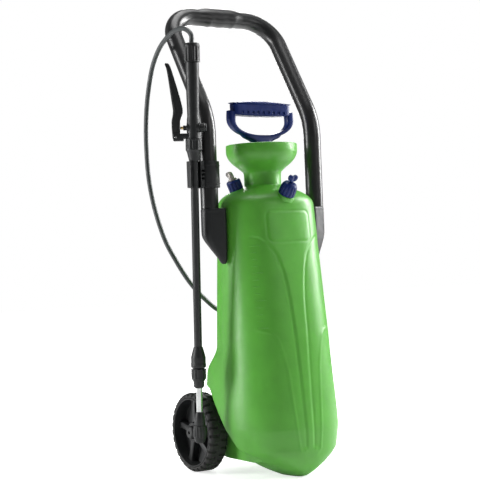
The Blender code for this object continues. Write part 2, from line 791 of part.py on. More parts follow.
def make_relief_valve():
    """A pull-up pressure relief: cap on the tank's boss, seal, spring and a knob on a stem."""
    turned_parts = (
        (
            "relief_body",
            [
                (0.0109, 0.0010),
                (0.0155, 0.0010),
                (0.0150, 0.0150),
                (0.0135, 0.0225),
                (0.0110, 0.0250),
                (0.0036, 0.0250),
                (0.0036, 0.0222),
                (0.0092, 0.0222),
                (0.0092, 0.0110),
                (0.0109, 0.0110),
            ],
            "blue",
            18,
            True,
        ),
        ("relief_seal", [(0.0084, 0.0103), (0.0084, 0.0122)], "rubber", 16, False),
        (
            "relief_knob",
            [
                (0.0084, 0.0125),
                (0.0084, 0.0142),
                (0.0030, 0.0142),
                (0.0030, 0.0300),
                (0.0060, 0.0312),
                (0.0070, 0.0340),
                (0.0070, 0.0385),
                (0.0050, 0.0410),
            ],
            "blue",
            16,
            False,
        ),
    )
    for name, profile, finish, sides, closed in turned_parts:
        piece = turned(name, profile, finish, sides=sides, closed=closed)
        point_along(piece, RELIEF_FOOT, RELIEF_DIR)
    turns = 3
    points = []
    for i in range(turns * 7 + 1):
        angle = 2 * pi * i / 7
        height = mix(0.0155, 0.0212, i / (turns * 7))
        points.append((0.0062 * cos(angle), 0.0062 * sin(angle), height))
    spring = tube("relief_spring", points, 0.0006, "steel", sides=0)
    point_along(spring, RELIEF_FOOT, RELIEF_DIR)


def elbow_points():
    """The elbow's centre line: up through the nut, then round to the hose's direction."""
    top = OUTLET_FOOT + OUTLET_DIR * ELBOW_LIFT
    start = OUTLET_FOOT + OUTLET_DIR * 0.0160
    points = [start, OUTLET_FOOT + OUTLET_DIR * 0.0230]
    bend_start = OUTLET_FOOT + OUTLET_DIR * 0.0250
    bend_end = top + ELBOW_DIR * 0.0080
    for i in range(7):
        t = i / 6
        points.append(bend_start * (1 - t) ** 2 + top * 2 * t * (1 - t) + bend_end * t * t)
    points.append(top + ELBOW_DIR * 0.0230)
    return points


def hose_end():
    return OUTLET_FOOT + OUTLET_DIR * ELBOW_LIFT + ELBOW_DIR * (0.0230 + GAP)


def make_outlet():
    """A nut on the tank's boss, a seal, the elbow, and the dip tube with its filter inside the tank."""
    nut = turned(
        "outlet_nut",
        [
            (0.0099, 0.0008),
            (0.0135, 0.0008),
            (0.0135, 0.0180),
            (0.0115, 0.0200),
            (0.0059, 0.0200),
            (0.0059, 0.0165),
            (0.0099, 0.0165),
        ],
        "blue",
        sides=18,
        closed=True,
    )
    point_along(nut, OUTLET_FOOT, OUTLET_DIR)
    seal = turned(
        "outlet_seal",
        [(0.0062, 0.0103), (0.0092, 0.0103), (0.0092, 0.0120), (0.0062, 0.0120)],
        "rubber",
        sides=20,
        closed=True,
    )
    point_along(seal, OUTLET_FOOT, OUTLET_DIR)
    elbow = tube("outlet_elbow", elbow_points(), 0.0050, "steel", sides=3)
    flange = turned("elbow_flange", [(0.0092, 0.0124), (0.0092, 0.0160), (0.0045, 0.0162)], "steel", sides=20)
    point_along(flange, OUTLET_FOOT, OUTLET_DIR)
    mesh = bpy.data.meshes.new_from_object(elbow)
    solid = bpy.data.objects.new("outlet_elbow_body", mesh)
    bpy.context.scene.collection.objects.link(solid)
    bpy.data.objects.remove(elbow, do_unlink=True)
    solid.name = "outlet_elbow"
    boolean(solid, flange, "UNION")
    start = OUTLET_FOOT + OUTLET_DIR * 0.0118
    points = [start, OUTLET_FOOT - OUTLET_DIR * 0.0200]
    for low in ((-0.0465, 0.0100, 0.4900), (-0.0450, 0.0100, 0.4600), (-0.0450, 0.0100, 0.0400)):
        points.append(Vector(low))
    tube("dip_tube", points, 0.0040, "natural", sides=2)
    strainer = turned("dip_filter", [(0.0080, 0.0120), (0.0080, 0.0397)], "natural", sides=14)
    strainer.location = (-0.0450, 0.0100, 0.0)


# --- Lance --------------------------------------------------------------------------------------------------


def make_wand(stand):
    """The trigger handle with its hose nut, valve and lever, all along the lance's axis."""
    turned(
        "hose_nut",
        [
            (0.0104, 0.7640),
            (0.0146, 0.7640),
            (0.0146, 0.7950),
            (0.0128, 0.7990),
            (0.0050, 0.7990),
            (0.0050, 0.7900),
            (0.0104, 0.7900),
        ],
        "black",
        stand,
        sides=18,
        closed=True,
    )
    turned(
        "hose_spigot",
        [
            (0.0018, 0.7713),
            (0.0098, 0.7713),
            (0.0098, 0.7745),
            (0.0042, 0.7745),
            (0.0046, 0.7780),
            (0.0038, 0.7880),
            (0.0038, 0.7965),
            (0.0018, 0.7965),
        ],
        "black",
        stand,
        sides=16,
        closed=True,
    )
    body = turned(
        "wand_body",
        [
            (0.0100, 0.7710),
            (0.0100, 0.7637),
            (0.0125, 0.7637),
            (0.0125, 0.7500),
            (0.0109, 0.6640),
            (0.0118, 0.6600),
            (0.0118, 0.6300),
            (0.0130, 0.6246),
            (0.0100, 0.6246),
            (0.0100, 0.6060),
        ],
        "black",
        stand,
        sides=18,
    )
    lever_frame = empty("lever_frame", (0.0, 0.0, 0.0), (0.0, 0.0, LEVER_TURN), stand)
    fork = block("valve_fork", (0.0050, -0.0092, 0.6250), (0.0372, 0.0092, 0.6345), "black", lever_frame)
    boolean(body, fork, "UNION")
    cheeks = block("fork_cheeks", (0.0170, -0.0088, 0.6212), (0.0368, 0.0088, 0.6340), "black", lever_frame)
    boolean(body, cheeks, "UNION")
    guide = turned("valve_guide", [(0.0046, 0.0050), (0.0046, 0.0185)], "black", lever_frame, sides=16)
    lie_along_x(guide, (0.0, 0.0, VALVE_Z))
    boolean(body, guide, "UNION")
    slot = block("fork_slot", (0.0200, -0.0058, 0.6000), (0.0600, 0.0058, 0.6360), "black", lever_frame)
    boolean(body, slot)
    channel = turned("wand_channel", [(0.0030, 0.5900), (0.0030, 0.8000)], "black", stand, sides=8)
    boolean(body, channel)
    chamber = turned("valve_chamber", [(0.0062, -0.0250), (0.0062, 0.0070)], "black", lever_frame, sides=16)
    boolean(body, lie_along_x(chamber, (0.0, 0.0, VALVE_Z)))
    way = turned("valve_way", [(0.0031, 0.0), (0.0031, 0.0300)], "black", lever_frame, sides=16)
    boolean(body, lie_along_x(way, (0.0, 0.0, VALVE_Z)))
    pin_hole = turned("pin_hole", [(0.0023, -0.02), (0.0023, 0.02)], "black", lever_frame, sides=8)
    pin_hole.rotation_euler = (pi / 2, 0.0, 0.0)
    pin_hole.location = (PIVOT_R, 0.0, PIVOT_Z)
    boolean(body, pin_hole)
    cap = turned(
        "valve_cap",
        [(0.0058, 0.0080), (0.0058, 0.0125), (0.0085, 0.0125), (0.0085, 0.0225), (0.0070, 0.0245)],
        "black",
        lever_frame,
        sides=20,
    )
    cap.rotation_euler = (0.0, -pi / 2, 0.0)
    cap.location = (0.0, 0.0, VALVE_Z)
    turned_pin = turned(
        "valve_pin",
        [(0.0056, 0.0020), (0.0056, 0.0060), (0.0028, 0.0060), (0.0028, 0.0228), (0.0018, 0.0240)],
        "brass",
        lever_frame,
        sides=16,
    )
    lie_along_x(turned_pin, (0.0, 0.0, VALVE_Z))
    points = []
    for i in range(22):
        angle = 2 * pi * i / 7
        points.append((mix(-0.0070, 0.0010, i / 21), 0.0042 * cos(angle), VALVE_Z + 0.0042 * sin(angle)))
    tube("valve_spring", points, 0.0005, "steel", sides=0, parent=lever_frame)
    pin = turned("trigger_pin", [(0.0020, -0.0095), (0.0020, 0.0095)], "steel", lever_frame, sides=8)
    pin.rotation_euler = (pi / 2, 0.0, 0.0)
    pin.location = (PIVOT_R, 0.0, PIVOT_Z)
    make_trigger(lever_frame)


def make_trigger(lever_frame):
    """A lever whose hub turns on the pin, with its long arm beside the grip."""
    outline = []
    for i in range(9):
        angle = pi + pi * i / 8
        outline.append((PIVOT_R + 0.0066 * cos(angle), PIVOT_Z + 0.0066 * sin(angle)))
    outline += [
        (0.0400, 0.6480),
        (0.0396, 0.6580),
        (0.0362, 0.6740),
        (0.0482, 0.7615),
        (0.0395, 0.7615),
        (0.0285, 0.7190),
        (0.0185, 0.6790),
        (0.0195, 0.6700),
        (0.0243, 0.6590),
        (0.0243, 0.6360),
    ]
    centred = [(x - PIVOT_R, z - PIVOT_Z) for x, z in outline]
    lever = prism("trigger", centred, -0.0050, 0.0050, "black", lever_frame)
    lever.location = (PIVOT_R, 0.0, PIVOT_Z)
    hole = turned("trigger_hole", [(0.0023, -0.02), (0.0023, 0.02)], "black", lever, sides=8)
    hole.rotation_euler = (pi / 2, 0.0, 0.0)
    boolean(lever, hole)


def make_lance(stand):
    """The union nut, the outer tube with its collet, and the inner tube with the nozzle."""
    parts = (
        (
            "union_nut",
            [
                (0.0104, 0.6243),
                (0.0150, 0.6243),
                (0.0150, 0.6024),
                (0.0092, 0.5845),
                (LANCE_R + GAP, 0.5845),
                (LANCE_R + GAP, 0.6015),
                (0.0104, 0.6015),
            ],
            "black",
            18,
        ),
        (
            "lance_tube",
            [
                (LANCE_BORE_R, 0.6055),
                (0.0096, 0.6055),
                (0.0096, 0.6025),
                (LANCE_R, 0.6025),
                (LANCE_R, 0.2280),
                (LANCE_BORE_R, 0.2280),
            ],
            "black",
            16,
        ),
        (
            "collet_body",
            [
                (LANCE_R + GAP, 0.2440),
                (0.0085, 0.2440),
                (0.0134, 0.2256),
                (0.0134, 0.2064),
                (0.0100, 0.2064),
                (0.0100, 0.1900),
                (0.0085, 0.1900),
                (0.0085, 0.2150),
                (INNER_R + GAP, 0.2150),
                (INNER_R + GAP, 0.2277),
                (LANCE_R + GAP, 0.2277),
            ],
            "black",
            18,
        ),
        ("collet_ring", ring_profile(0.0070, 0.0011, 0.2110), "rubber", 16),
        (
            "collet_nut",
            [
                (0.0103, 0.2045),
                (0.0137, 0.2045),
                (0.0137, 0.1860),
                (0.0105, 0.1816),
                (0.0096, 0.1715),
                (0.0074, 0.1690),
                (INNER_R + GAP, 0.1690),
                (INNER_R + GAP, 0.1860),
                (0.0103, 0.1860),
            ],
            "black",
            18,
        ),
        (
            "inner_tube",
            [(0.0045, 0.5700), (INNER_R, 0.5700), (INNER_R, 0.1150), (0.0045, 0.1150)],
            "steel",
            14,
        ),
        (
            "nozzle_body",
            [
                (INNER_R + GAP, 0.1250),
                (0.0070, 0.1250),
                (0.0092, 0.1150),
                (0.0104, 0.1010),
                (0.0070, 0.1010),
                (0.0070, 0.0840),
                (0.0020, 0.0840),
                (0.0020, 0.1140),
                (INNER_R + GAP, 0.1140),
            ],
            "black",
            18,
        ),
        (
            "nozzle_cap",
            [
                (0.0073, 0.1007),
                (0.0112, 0.1007),
                (0.0124, 0.0900),
                (0.0122, 0.0800),
                (0.0085, 0.0700),
                (0.0060, 0.0680),
                (0.0012, 0.0680),
                (0.0012, 0.0760),
                (0.0073, 0.0800),
            ],
            "black",
            18,
        ),
    )
    for name, profile, finish, sides in parts:
        turned(name, profile, finish, stand, sides=sides, closed=True)


def make_hose(stand):
    """One free hose from the lance's nut, back and down behind the tank, and up to the outlet elbow."""
    up = Vector((0.0, -sin(WAND_LEAN), cos(WAND_LEAN)))
    start = Vector(WAND_FOOT) + up * (0.7990 + GAP)
    end = hose_end()
    route = [start + up * 0.006, *HOSE_ROUTE, end + ELBOW_DIR * 0.010]
    points = smooth_route(route, up * 0.01, -ELBOW_DIR * 0.01)
    tube("hose", [start, *points, end], HOSE_R, "hose", sides=2)


def main():
    clear_scene()
    make_tank()
    make_frame_tube()
    for side, word in ((-1, "left"), (1, "right")):
        make_bracket(side, word)
        make_wheel(side, word)
    make_lance_clip()
    make_axle()
    make_pump()
    make_pump_handle()
    make_relief_valve()
    make_outlet()
    stand = empty("wand_axis", WAND_FOOT, (WAND_LEAN, 0.0, 0.0))
    make_wand(stand)
    make_lance(stand)
    make_hose(stand)


main()
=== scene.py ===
"""Trolley pressure sprayer: the visible pieces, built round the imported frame. Metres, +Z up, -Y is the front.
"""

import json
from math import atan2, cos, pi, radians, sin

import bpy
import numpy as np
from bpy.props import FloatProperty, FloatVectorProperty, IntProperty, PointerProperty
from mathutils import Matrix


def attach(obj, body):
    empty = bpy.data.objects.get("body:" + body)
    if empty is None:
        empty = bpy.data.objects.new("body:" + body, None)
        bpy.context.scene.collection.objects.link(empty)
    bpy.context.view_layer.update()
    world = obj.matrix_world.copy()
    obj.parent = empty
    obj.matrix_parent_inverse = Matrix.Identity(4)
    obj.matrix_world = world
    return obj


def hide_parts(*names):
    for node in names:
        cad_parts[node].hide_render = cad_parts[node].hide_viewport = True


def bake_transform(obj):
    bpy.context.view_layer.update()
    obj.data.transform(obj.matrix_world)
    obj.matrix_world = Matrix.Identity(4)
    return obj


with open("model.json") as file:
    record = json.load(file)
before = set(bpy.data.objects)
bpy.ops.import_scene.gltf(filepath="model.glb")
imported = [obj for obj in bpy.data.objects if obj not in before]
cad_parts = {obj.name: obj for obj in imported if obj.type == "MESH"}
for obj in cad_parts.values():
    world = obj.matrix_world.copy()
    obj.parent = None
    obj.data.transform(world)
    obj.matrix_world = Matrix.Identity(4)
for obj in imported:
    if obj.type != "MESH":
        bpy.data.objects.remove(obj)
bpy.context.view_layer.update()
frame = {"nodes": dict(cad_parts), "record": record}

bl_info = {
    "name": "Trolley Pressure Sprayer",
    "version": (1, 0, 0),
    "blender": (4, 5, 0),
    "location": "3D View > Sidebar > Sprayer",
    "description": "Builds a wheeled pressure sprayer with a hand pump, a handle frame and a trigger lance",
    "category": "Add Mesh",
}

# --- Sizes shared by several pieces -----------------------------------------------------------------------

SHOULDER_Z = 0.495
SHOULDER_RISE = 0.048
SHOULDER_CURVE = 2.2
SHOULDER_SIZE = np.array((0.0935, 0.078, 0.053))
MIDDLE_Z = 0.255
MIDDLE_SIZE = np.array((0.103, 0.109, 0.062))
FOOT_Z = 0.090
FOOT_SIZE = np.array((0.111, 0.124, 0.106))
FOOT_ROUND = 0.052
FOOT_INSET = np.array((0.085, 0.034, 0.052))
# The underside is raised behind the front foot, and the foot tapers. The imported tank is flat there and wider.
FOOT_TAPER = 0.010
UNDER_Z = 0.028
UNDER_Y = -0.049
CORNER_POWER = 2.6
WALL = 0.004
NECK_R = 0.0350
NECK_BORE_R = 0.0303
NECK_TOP_Z = 0.566
FUNNEL_R = 0.0675
FUNNEL_TOP_Z = 0.6164
FUNNEL_BOWL_Z = 0.604
FUNNEL_WALL = 0.0032
SEAT_Z = 0.5800

ARCH_LINE_Z = (0.000, 0.030, 0.0468, 0.0568, 0.0796, 0.1196, 0.1558, 0.170)
ARCH_LINE_Y = (-0.112, -0.088, -0.060, -0.0340, -0.0157, 0.0185, 0.0485, 0.060)
ARCH_ROOF_Z = 0.159
ARCH_IN_X = 0.0745

LEG_X = 0.120
TUBE_R = 0.0165
LEG_FOOT_Z = 0.4970
BEND_Z = 0.633
BEND_R = 0.110
LEAN = 0.565
CORNER_R = 0.062
TOP_Z = 0.8785

ROD_R = 0.0065
BARREL_R = 0.0228

WAND_FOOT = np.array((-0.155, 0.0101, 0.0))
WAND_LEAN = 0.032
LEVER_TURN = atan2(0.56, -0.83)
LANCE_R = 0.0073
INNER_R = 0.0055
VALVE_Z = 0.645
PIVOT_R = 0.0318
PIVOT_Z = 0.628

RELIEF_FOOT = (0.0040, -0.0700, 0.5182)
RELIEF_DIR = (0.080, -0.560, 0.820)
OUTLET_FOOT = np.array((-0.0530, 0.0100, 0.5315))
OUTLET_DIR = np.array((-0.400, 0.0, 0.917))
ELBOW_DIR = np.array((0.447, 0.894, 0.0))
ELBOW_LIFT = 0.0330

HOSE_ROUTE = (
    (-0.155, -0.0160, 0.8120),
    (-0.155, -0.0060, 0.8220),
    (-0.155, 0.0150, 0.8305),
    (-0.155, 0.0470, 0.8305),
    (-0.155, 0.0785, 0.8204),
    (-0.155, 0.1070, 0.8036),
    (-0.155, 0.1343, 0.7723),
    (-0.155, 0.1552, 0.7220),
    (-0.153, 0.1690, 0.6740),
    (-0.152, 0.1735, 0.6248),
    (-0.1490, 0.1740, 0.5640),
    (-0.1420, 0.1670, 0.5040),
    (-0.1310, 0.1520, 0.4445),
    (-0.1150, 0.1395, 0.4024),
    (-0.0990, 0.1310, 0.3706),
    (-0.0870, 0.1255, 0.3517),
    (-0.0700, 0.1240, 0.3330),
    (-0.0370, 0.1235, 0.3055),
    (-0.0050, 0.1240, 0.2930),
    (0.0260, 0.1240, 0.2980),
    (0.0490, 0.1220, 0.3230),
    (0.0570, 0.1170, 0.3620),
    (0.0530, 0.1090, 0.4070),
    (0.0410, 0.0990, 0.4520),
    (0.0240, 0.0900, 0.4950),
    (0.0040, 0.0830, 0.5320),
    (-0.0180, 0.0750, 0.5545),
)


# --- Settings that a user would change --------------------------------------------------------------------


def length(name, description, default):
    return FloatProperty(
        name=name, description=description, default=default, min=0.0, subtype="DISTANCE", unit="LENGTH"
    )


def colour(name, description, default):
    return FloatVectorProperty(
        name=name, description=description, default=default, size=3, min=0.0, max=1.0, subtype="COLOR"
    )


class SprayerSizes(bpy.types.PropertyGroup):
    groove_depth: length("Groove depth", "How deep the long grooves of the tank's front are", 0.0013)
    panel_step: length("Panel step", "How far the tank's flank panels stand back", 0.0009)
    seam_height: length("Seam height", "Height of the mould seam down the tank's sides", 0.0004)
    tread_depth: length("Tread depth", "Depth of the gaps between the tyre's lugs", 0.0030)
    lug_count: IntProperty(
        name="Lugs", description="Lugs round each side of a tyre", default=30, min=8, max=60
    )
    grip_swell: length("Grip swell", "How far the middle of the top bar swells downwards", 0.0045)
    hose_radius: length("Hose radius", "Radius of the hose", 0.0044)
    rib_depth: length("Rib depth", "Depth of the ribs on the nuts", 0.0011)


class SprayerColours(bpy.types.PropertyGroup):
    tank: colour("Tank", "The tank's polyethylene", (0.100, 0.400, 0.040))
    fittings: colour(
        "Fittings", "The pump handle, the relief valve and the outlet nut", (0.0022, 0.0150, 0.1150)
    )
    moulded: colour(
        "Moulded parts", "Wheels, brackets, wand and other moulded black parts", (0.0075, 0.0090, 0.0100)
    )
    powder: colour("Frame", "The frame's powder coat", (0.0085, 0.0090, 0.0095))
    tyre: colour("Tyres", "The tyres' rubber", (0.0140, 0.0150, 0.0160))
    hose: colour("Hose", "The hose's rubber", (0.0520, 0.0590, 0.0600))
    floor: colour("Floor", "The studio floor", (0.92, 0.92, 0.92))


def sizes():
    return bpy.context.scene.sprayer_sizes


def colours():
    return bpy.context.scene.sprayer_colours


# --- Surfaces ---------------------------------------------------------------------------------------------


def smoothstep(x, low, high):
    """0 up to low and 1 from high on, with three t squared less two t cubed between them."""
    t = np.clip((x - low) / (high - low), 0.0, 1.0)
    return t * t * (3.0 - 2.0 * t)


def unit(v):
    v = np.asarray(v, float)
    return v / np.linalg.norm(v)


def turned_to(axis, spin=0.0):
    """Three rows, X, Y and Z, of a frame whose Z lies along axis."""
    z = unit(axis)
    helper = np.array((0.0, 0.0, 1.0)) if abs(z[2]) < 0.9 else np.array((1.0, 0.0, 0.0))
    x = unit(np.cross(helper, z))
    y = np.cross(z, x)
    return np.stack([cos(spin) * x + sin(spin) * y, cos(spin) * y - sin(spin) * x, z])


def placed(part, rows, origin=(0.0, 0.0, 0.0)):
    """A part carried from its own frame, whose axes are the given rows, to the object's."""
    points, quads, triangles = part
    return points @ np.asarray(rows) + np.asarray(origin), quads, triangles


def outward(points, quads, triangles):
    """The part with its faces turned outwards, by the sign of the volume that they enclose."""
    flat = np.concatenate([quads[:, [0, 1, 2]], quads[:, [0, 2, 3]], triangles])
    a, b, c = points[flat].transpose(1, 0, 2)
    if np.einsum("ij,ij->i", a, np.cross(b, c)).sum() < 0:
        return points, quads[:, ::-1], triangles[:, ::-1]
    return points, quads, triangles


def skin(rings, joined=False):
    """A closed skin over rings in an array of (rows, columns, 3). Each pair of neighbouring rings is joined
    by quads. The first and last ring each get a fan to their middle, or are joined to each other."""
    rows, columns = rings.shape[:2]
    k = np.arange(columns)
    m = (k + 1) % columns
    i = np.arange(rows if joined else rows - 1)[:, None] * columns
    j = (i + columns) % (rows * columns)
    quads = np.stack([i + k, i + m, j + m, j + k], -1).reshape(-1, 4)
    points = rings.reshape(-1, 3)
    triangles = np.zeros((0, 3), int)
    if not joined:
        points = np.concatenate([points, rings[[0, -1]].mean(axis=1)])
        first = np.full(columns, rows * columns)
        last = (rows - 1) * columns
        fans = [np.stack([m, k, first], -1), np.stack([last + k, last + m, first + 1], -1)]
        triangles = np.concatenate(fans)
    return outward(points, quads, triangles)


def filleted(outline, radius, joined=True, steps=4):
    """An outline with each corner turned into a short quadratic curve that starts and ends radius away from
    it."""
    p = np.asarray(outline, float)
    back, on = np.roll(p, 1, 0) - p, np.roll(p, -1, 0) - p
    back_length = np.linalg.norm(back, axis=1)[:, None]
    on_length = np.linalg.norm(on, axis=1)[:, None]
    reach = np.minimum(radius, 0.42 * np.minimum(back_length, on_length))
    a, b = p + back / back_length * reach, p + on / on_length * reach
    t = np.linspace(0.0, 1.0, steps)[None, :, None]
    arcs = (1 - t) ** 2 * a[:, None] + 2 * t * (1 - t) * p[:, None] + t**2 * b[:, None]
    if joined:
        return arcs.reshape(-1, 2)
    return np.concatenate([p[:1], arcs[1:-1].reshape(-1, 2), p[-1:]])


def denser(outline, step, joined=True):
    """The same outline with extra points, so that none is farther than step from the next."""
    p = np.concatenate([outline, outline[:1]]) if joined else np.asarray(outline)
    walked = np.concatenate([[0.0], np.cumsum(np.linalg.norm(np.diff(p, axis=0), axis=1))])
    extra = np.arange(step / 2, walked[-1], step)
    at = np.unique(np.round(np.concatenate([walked, extra]), 6))
    if joined:
        at = at[:-1]
    return np.stack([np.interp(at, walked, p[:, axis]) for axis in range(p.shape[1])], -1)


def turned(profile, sides=48, joined=True, fillet=0.0007, ribs=None, step=None):
    """A profile of (radius, height) turned about Z. Ribs are (count, depth, low, high, least radius): between
    those heights the radius falls by depth times the square of half of one minus the cosine of count times
    the angle."""
    p = filleted(profile, fillet, joined)
    if ribs and step is None:
        step = 0.0012
    if step:
        p = denser(p, step, joined)
    angle = 2 * pi * np.arange(sides) / sides
    radius = np.repeat(p[:, :1], sides, axis=1)
    if ribs:
        count, depth, low, high, least = ribs
        z = p[:, 1:]
        mask = smoothstep(z, low, low + 0.0012) * (
            1 - smoothstep(z, high - 0.0012, high)
        ) * (p[:, :1] > least)
        radius = radius - depth * mask * (0.5 - 0.5 * np.cos(count * angle)) ** 2
    height = np.repeat(p[:, 1:], sides, axis=1)
    return skin(np.stack([radius * np.cos(angle), radius * np.sin(angle), height], -1), joined)


def slab(outline, low, high, bevel=0.0008, fillet=0.0012, swell=None, steps=4):
    """An outline in X and Y carried along Z, with its corners rounded and its end edges pulled in on a
    quarter circle. A swell function of height moves the whole outline outwards along its own normals."""
    p = denser(filleted(outline, fillet), 0.002)
    tangent = np.roll(p, -1, 0) - np.roll(p, 1, 0)
    normal = np.stack([tangent[:, 1], -tangent[:, 0]], -1) / np.linalg.norm(tangent, axis=1)[:, None]
    area = (p[:, 0] * np.roll(p[:, 1], -1) - np.roll(p[:, 0], -1) * p[:, 1]).sum()
    normal = normal * np.sign(area)
    angle = np.linspace(0.0, pi / 2, steps)
    inset, rise = bevel * (1 - np.sin(angle)), bevel * (1 - np.cos(angle))
    middle = np.linspace(low + bevel, high - bevel, 2 if swell is None else 40)[1:-1]
    z = np.concatenate([low + rise, middle, high - rise[::-1]])
    pull = np.concatenate([inset, 0 * middle, inset[::-1]])
    if swell is not None:
        pull = pull - swell(z)
    rings = p[None] - normal[None] * pull[:, None, None]
    return skin(np.concatenate([rings, np.repeat(z[:, None, None], len(p), axis=1)], -1))


def box_slab(low, high, bevel=0.0012):
    """A block between two corners with all its edges rounded."""
    outline = ((low[0], low[1]), (high[0], low[1]), (high[0], high[1]), (low[0], high[1]))
    return slab(outline, low[2], high[2], bevel, bevel)


def frames_along(path):
    """Two directions across each point of a path. Each pair is the one before it with the turn of the path
    taken out, so the tube made on them doesn't twist."""
    tangent = np.gradient(path, axis=0)
    tangent /= np.linalg.norm(tangent, axis=1)[:, None]
    across = np.empty_like(path)
    helper = np.array((1.0, 0.0, 0.0)) if abs(tangent[0, 0]) < 0.9 else np.array((0.0, 1.0, 0.0))
    current = np.cross(tangent[0], helper)
    for i, t in enumerate(tangent):
        current = unit(current - t * (current @ t))
        across[i] = current
    return across, np.cross(tangent, across)


def tube(path, radius, sides=24, shape=None, joined=False):
    """A round tube along a path: path plus radius times cosine and sine of the angle along its two across
    directions. A shape function of (share of the path, angle, outward direction) changes the radius."""
    path = np.asarray(path, float)
    first, second = frames_along(path)
    angle = 2 * pi * np.arange(sides) / sides
    out = first[:, None] * np.cos(angle)[None, :, None] + second[:, None] * np.sin(angle)[None, :, None]
    size = np.full((len(path), sides), radius, float)
    if shape is not None:
        walked = np.concatenate([[0.0], np.cumsum(np.linalg.norm(np.diff(path, axis=0), axis=1))])
        size = size + shape(walked[:, None] / walked[-1], angle[None], out)
    return skin(path[:, None] + out * size[:, :, None], joined)


def make_piece(name, parts, finish, body, nodes=(), angle=32.0):
    """One mesh object at the origin from one part or several. It rides on its body and stands for its CAD
    nodes."""
    points, quads, triangles, first = [], [], [], 0
    for part in parts:
        points.append(part[0])
        quads.append(part[1] + first)
        triangles.append(part[2] + first)
        first += len(part[0])
    points, quads, triangles = (np.concatenate(group) for group in (points, quads, triangles))
    corners = np.concatenate([quads.ravel(), triangles.ravel()]).astype(np.int32)
    counts = np.concatenate([np.full(len(quads), 4), np.full(len(triangles), 3)])
    mesh = bpy.data.meshes.new(name)
    mesh.vertices.add(len(points))
    mesh.vertices.foreach_set("co", points.astype(np.float32).ravel())
    mesh.loops.add(len(corners))
    mesh.loops.foreach_set("vertex_index", corners)
    mesh.polygons.add(len(counts))
    mesh.polygons.foreach_set("loop_start", np.concatenate([[0], np.cumsum(counts)[:-1]]).astype(np.int32))
    mesh.update(calc_edges=True)
    mesh.validate()
    mesh.shade_smooth()
    mesh.set_sharp_from_angle(angle=radians(angle))
    mesh.materials.append(finish)
    piece = bpy.data.objects.new(name, mesh)
    bpy.context.scene.collection.objects.link(piece)
    if body:
        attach(piece, body)
    if nodes:
        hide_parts(*nodes)
    return piece


# --- Finishes ---------------------------------------------------------------------------------------------


def new_finish(name, base, roughness, metallic=0.0, **sockets):
    """A material with a principled shader, its node tree and the shader."""
    made = bpy.data.materials.new(name)
    made.use_nodes = True
    tree = made.node_tree
    shader = tree.nodes["Principled BSDF"]
    shader.inputs["Base Color"].default_value = (*base, 1.0)
    shader.inputs["Roughness"].default_value = roughness
    shader.inputs["Metallic"].default_value = metallic
    for socket, value in sockets.items():
        shader.inputs[socket.replace("_", " ")].default_value = value
    made.diffuse_color = (*base, 1.0)
    return made, tree, shader


def node(tree, kind, inputs=(), **settings):
    made = tree.nodes.new(kind)
    for key, value in settings.items():
        setattr(made, key, value)
    for key, value in inputs:
        if isinstance(value, bpy.types.NodeSocket):
            tree.links.new(value, made.inputs[key])
        else:
            made.inputs[key].default_value = value
    return made


def noise(tree, scale, detail=2.0, rough=0.5, stretch=None):
    """Noise in the piece's own metres, so scale is features per metre. A stretch squeezes it along each axis.
    """
    where = node(tree, "ShaderNodeTexCoord").outputs["Object"]
    if stretch:
        where = node(tree, "ShaderNodeMapping", [("Vector", where), ("Scale", stretch)]).outputs["Vector"]
    return node(
        tree, "ShaderNodeTexNoise", [
            ("Vector", where), ("Scale", scale), ("Detail", detail), ("Roughness", rough)
        ]
    ).outputs["Fac"]


def ranged(tree, value, low, high, to_low, to_high):
    return node(
        tree,
        "ShaderNodeMapRange",
        [("Value", value), ("From Min", low), ("From Max", high), ("To Min", to_low), ("To Max", to_high)],
    ).outputs["Result"]


def shaded(tree, value, low_colour, high_colour, low=0.35, high=0.65):
    """A colour between two, by a value that is spread out between low and high first."""
    share = ranged(tree, value, low, high, 0.0, 1.0)
    mix = node(tree, "ShaderNodeMix", data_type="RGBA")
    tree.links.new(share, mix.inputs["Factor"])
    sockets = [s for s in mix.inputs if s.type == "RGBA"]
    for socket, value in zip(sockets, (low_colour, high_colour)):
        if isinstance(value, bpy.types.NodeSocket):
            tree.links.new(value, socket)
        else:
            socket.default_value = (*value, 1.0)
    return [s for s in mix.outputs if s.type == "RGBA"][0]


def bumped(tree, shader, layers):
    """One bump after another, each of (height, distance in metres), into the shader's normal."""
    normal = None
    for height, distance in layers:
        bump = node(tree, "ShaderNodeBump", [("Height", height), ("Distance", distance), ("Strength", 1.0)])
        if normal is not None:
            tree.links.new(normal, bump.inputs["Normal"])
        normal = bump.outputs["Normal"]
    tree.links.new(normal, shader.inputs["Normal"])


def times(base, factor):
    return tuple(min(1.0, channel * factor) for channel in base)


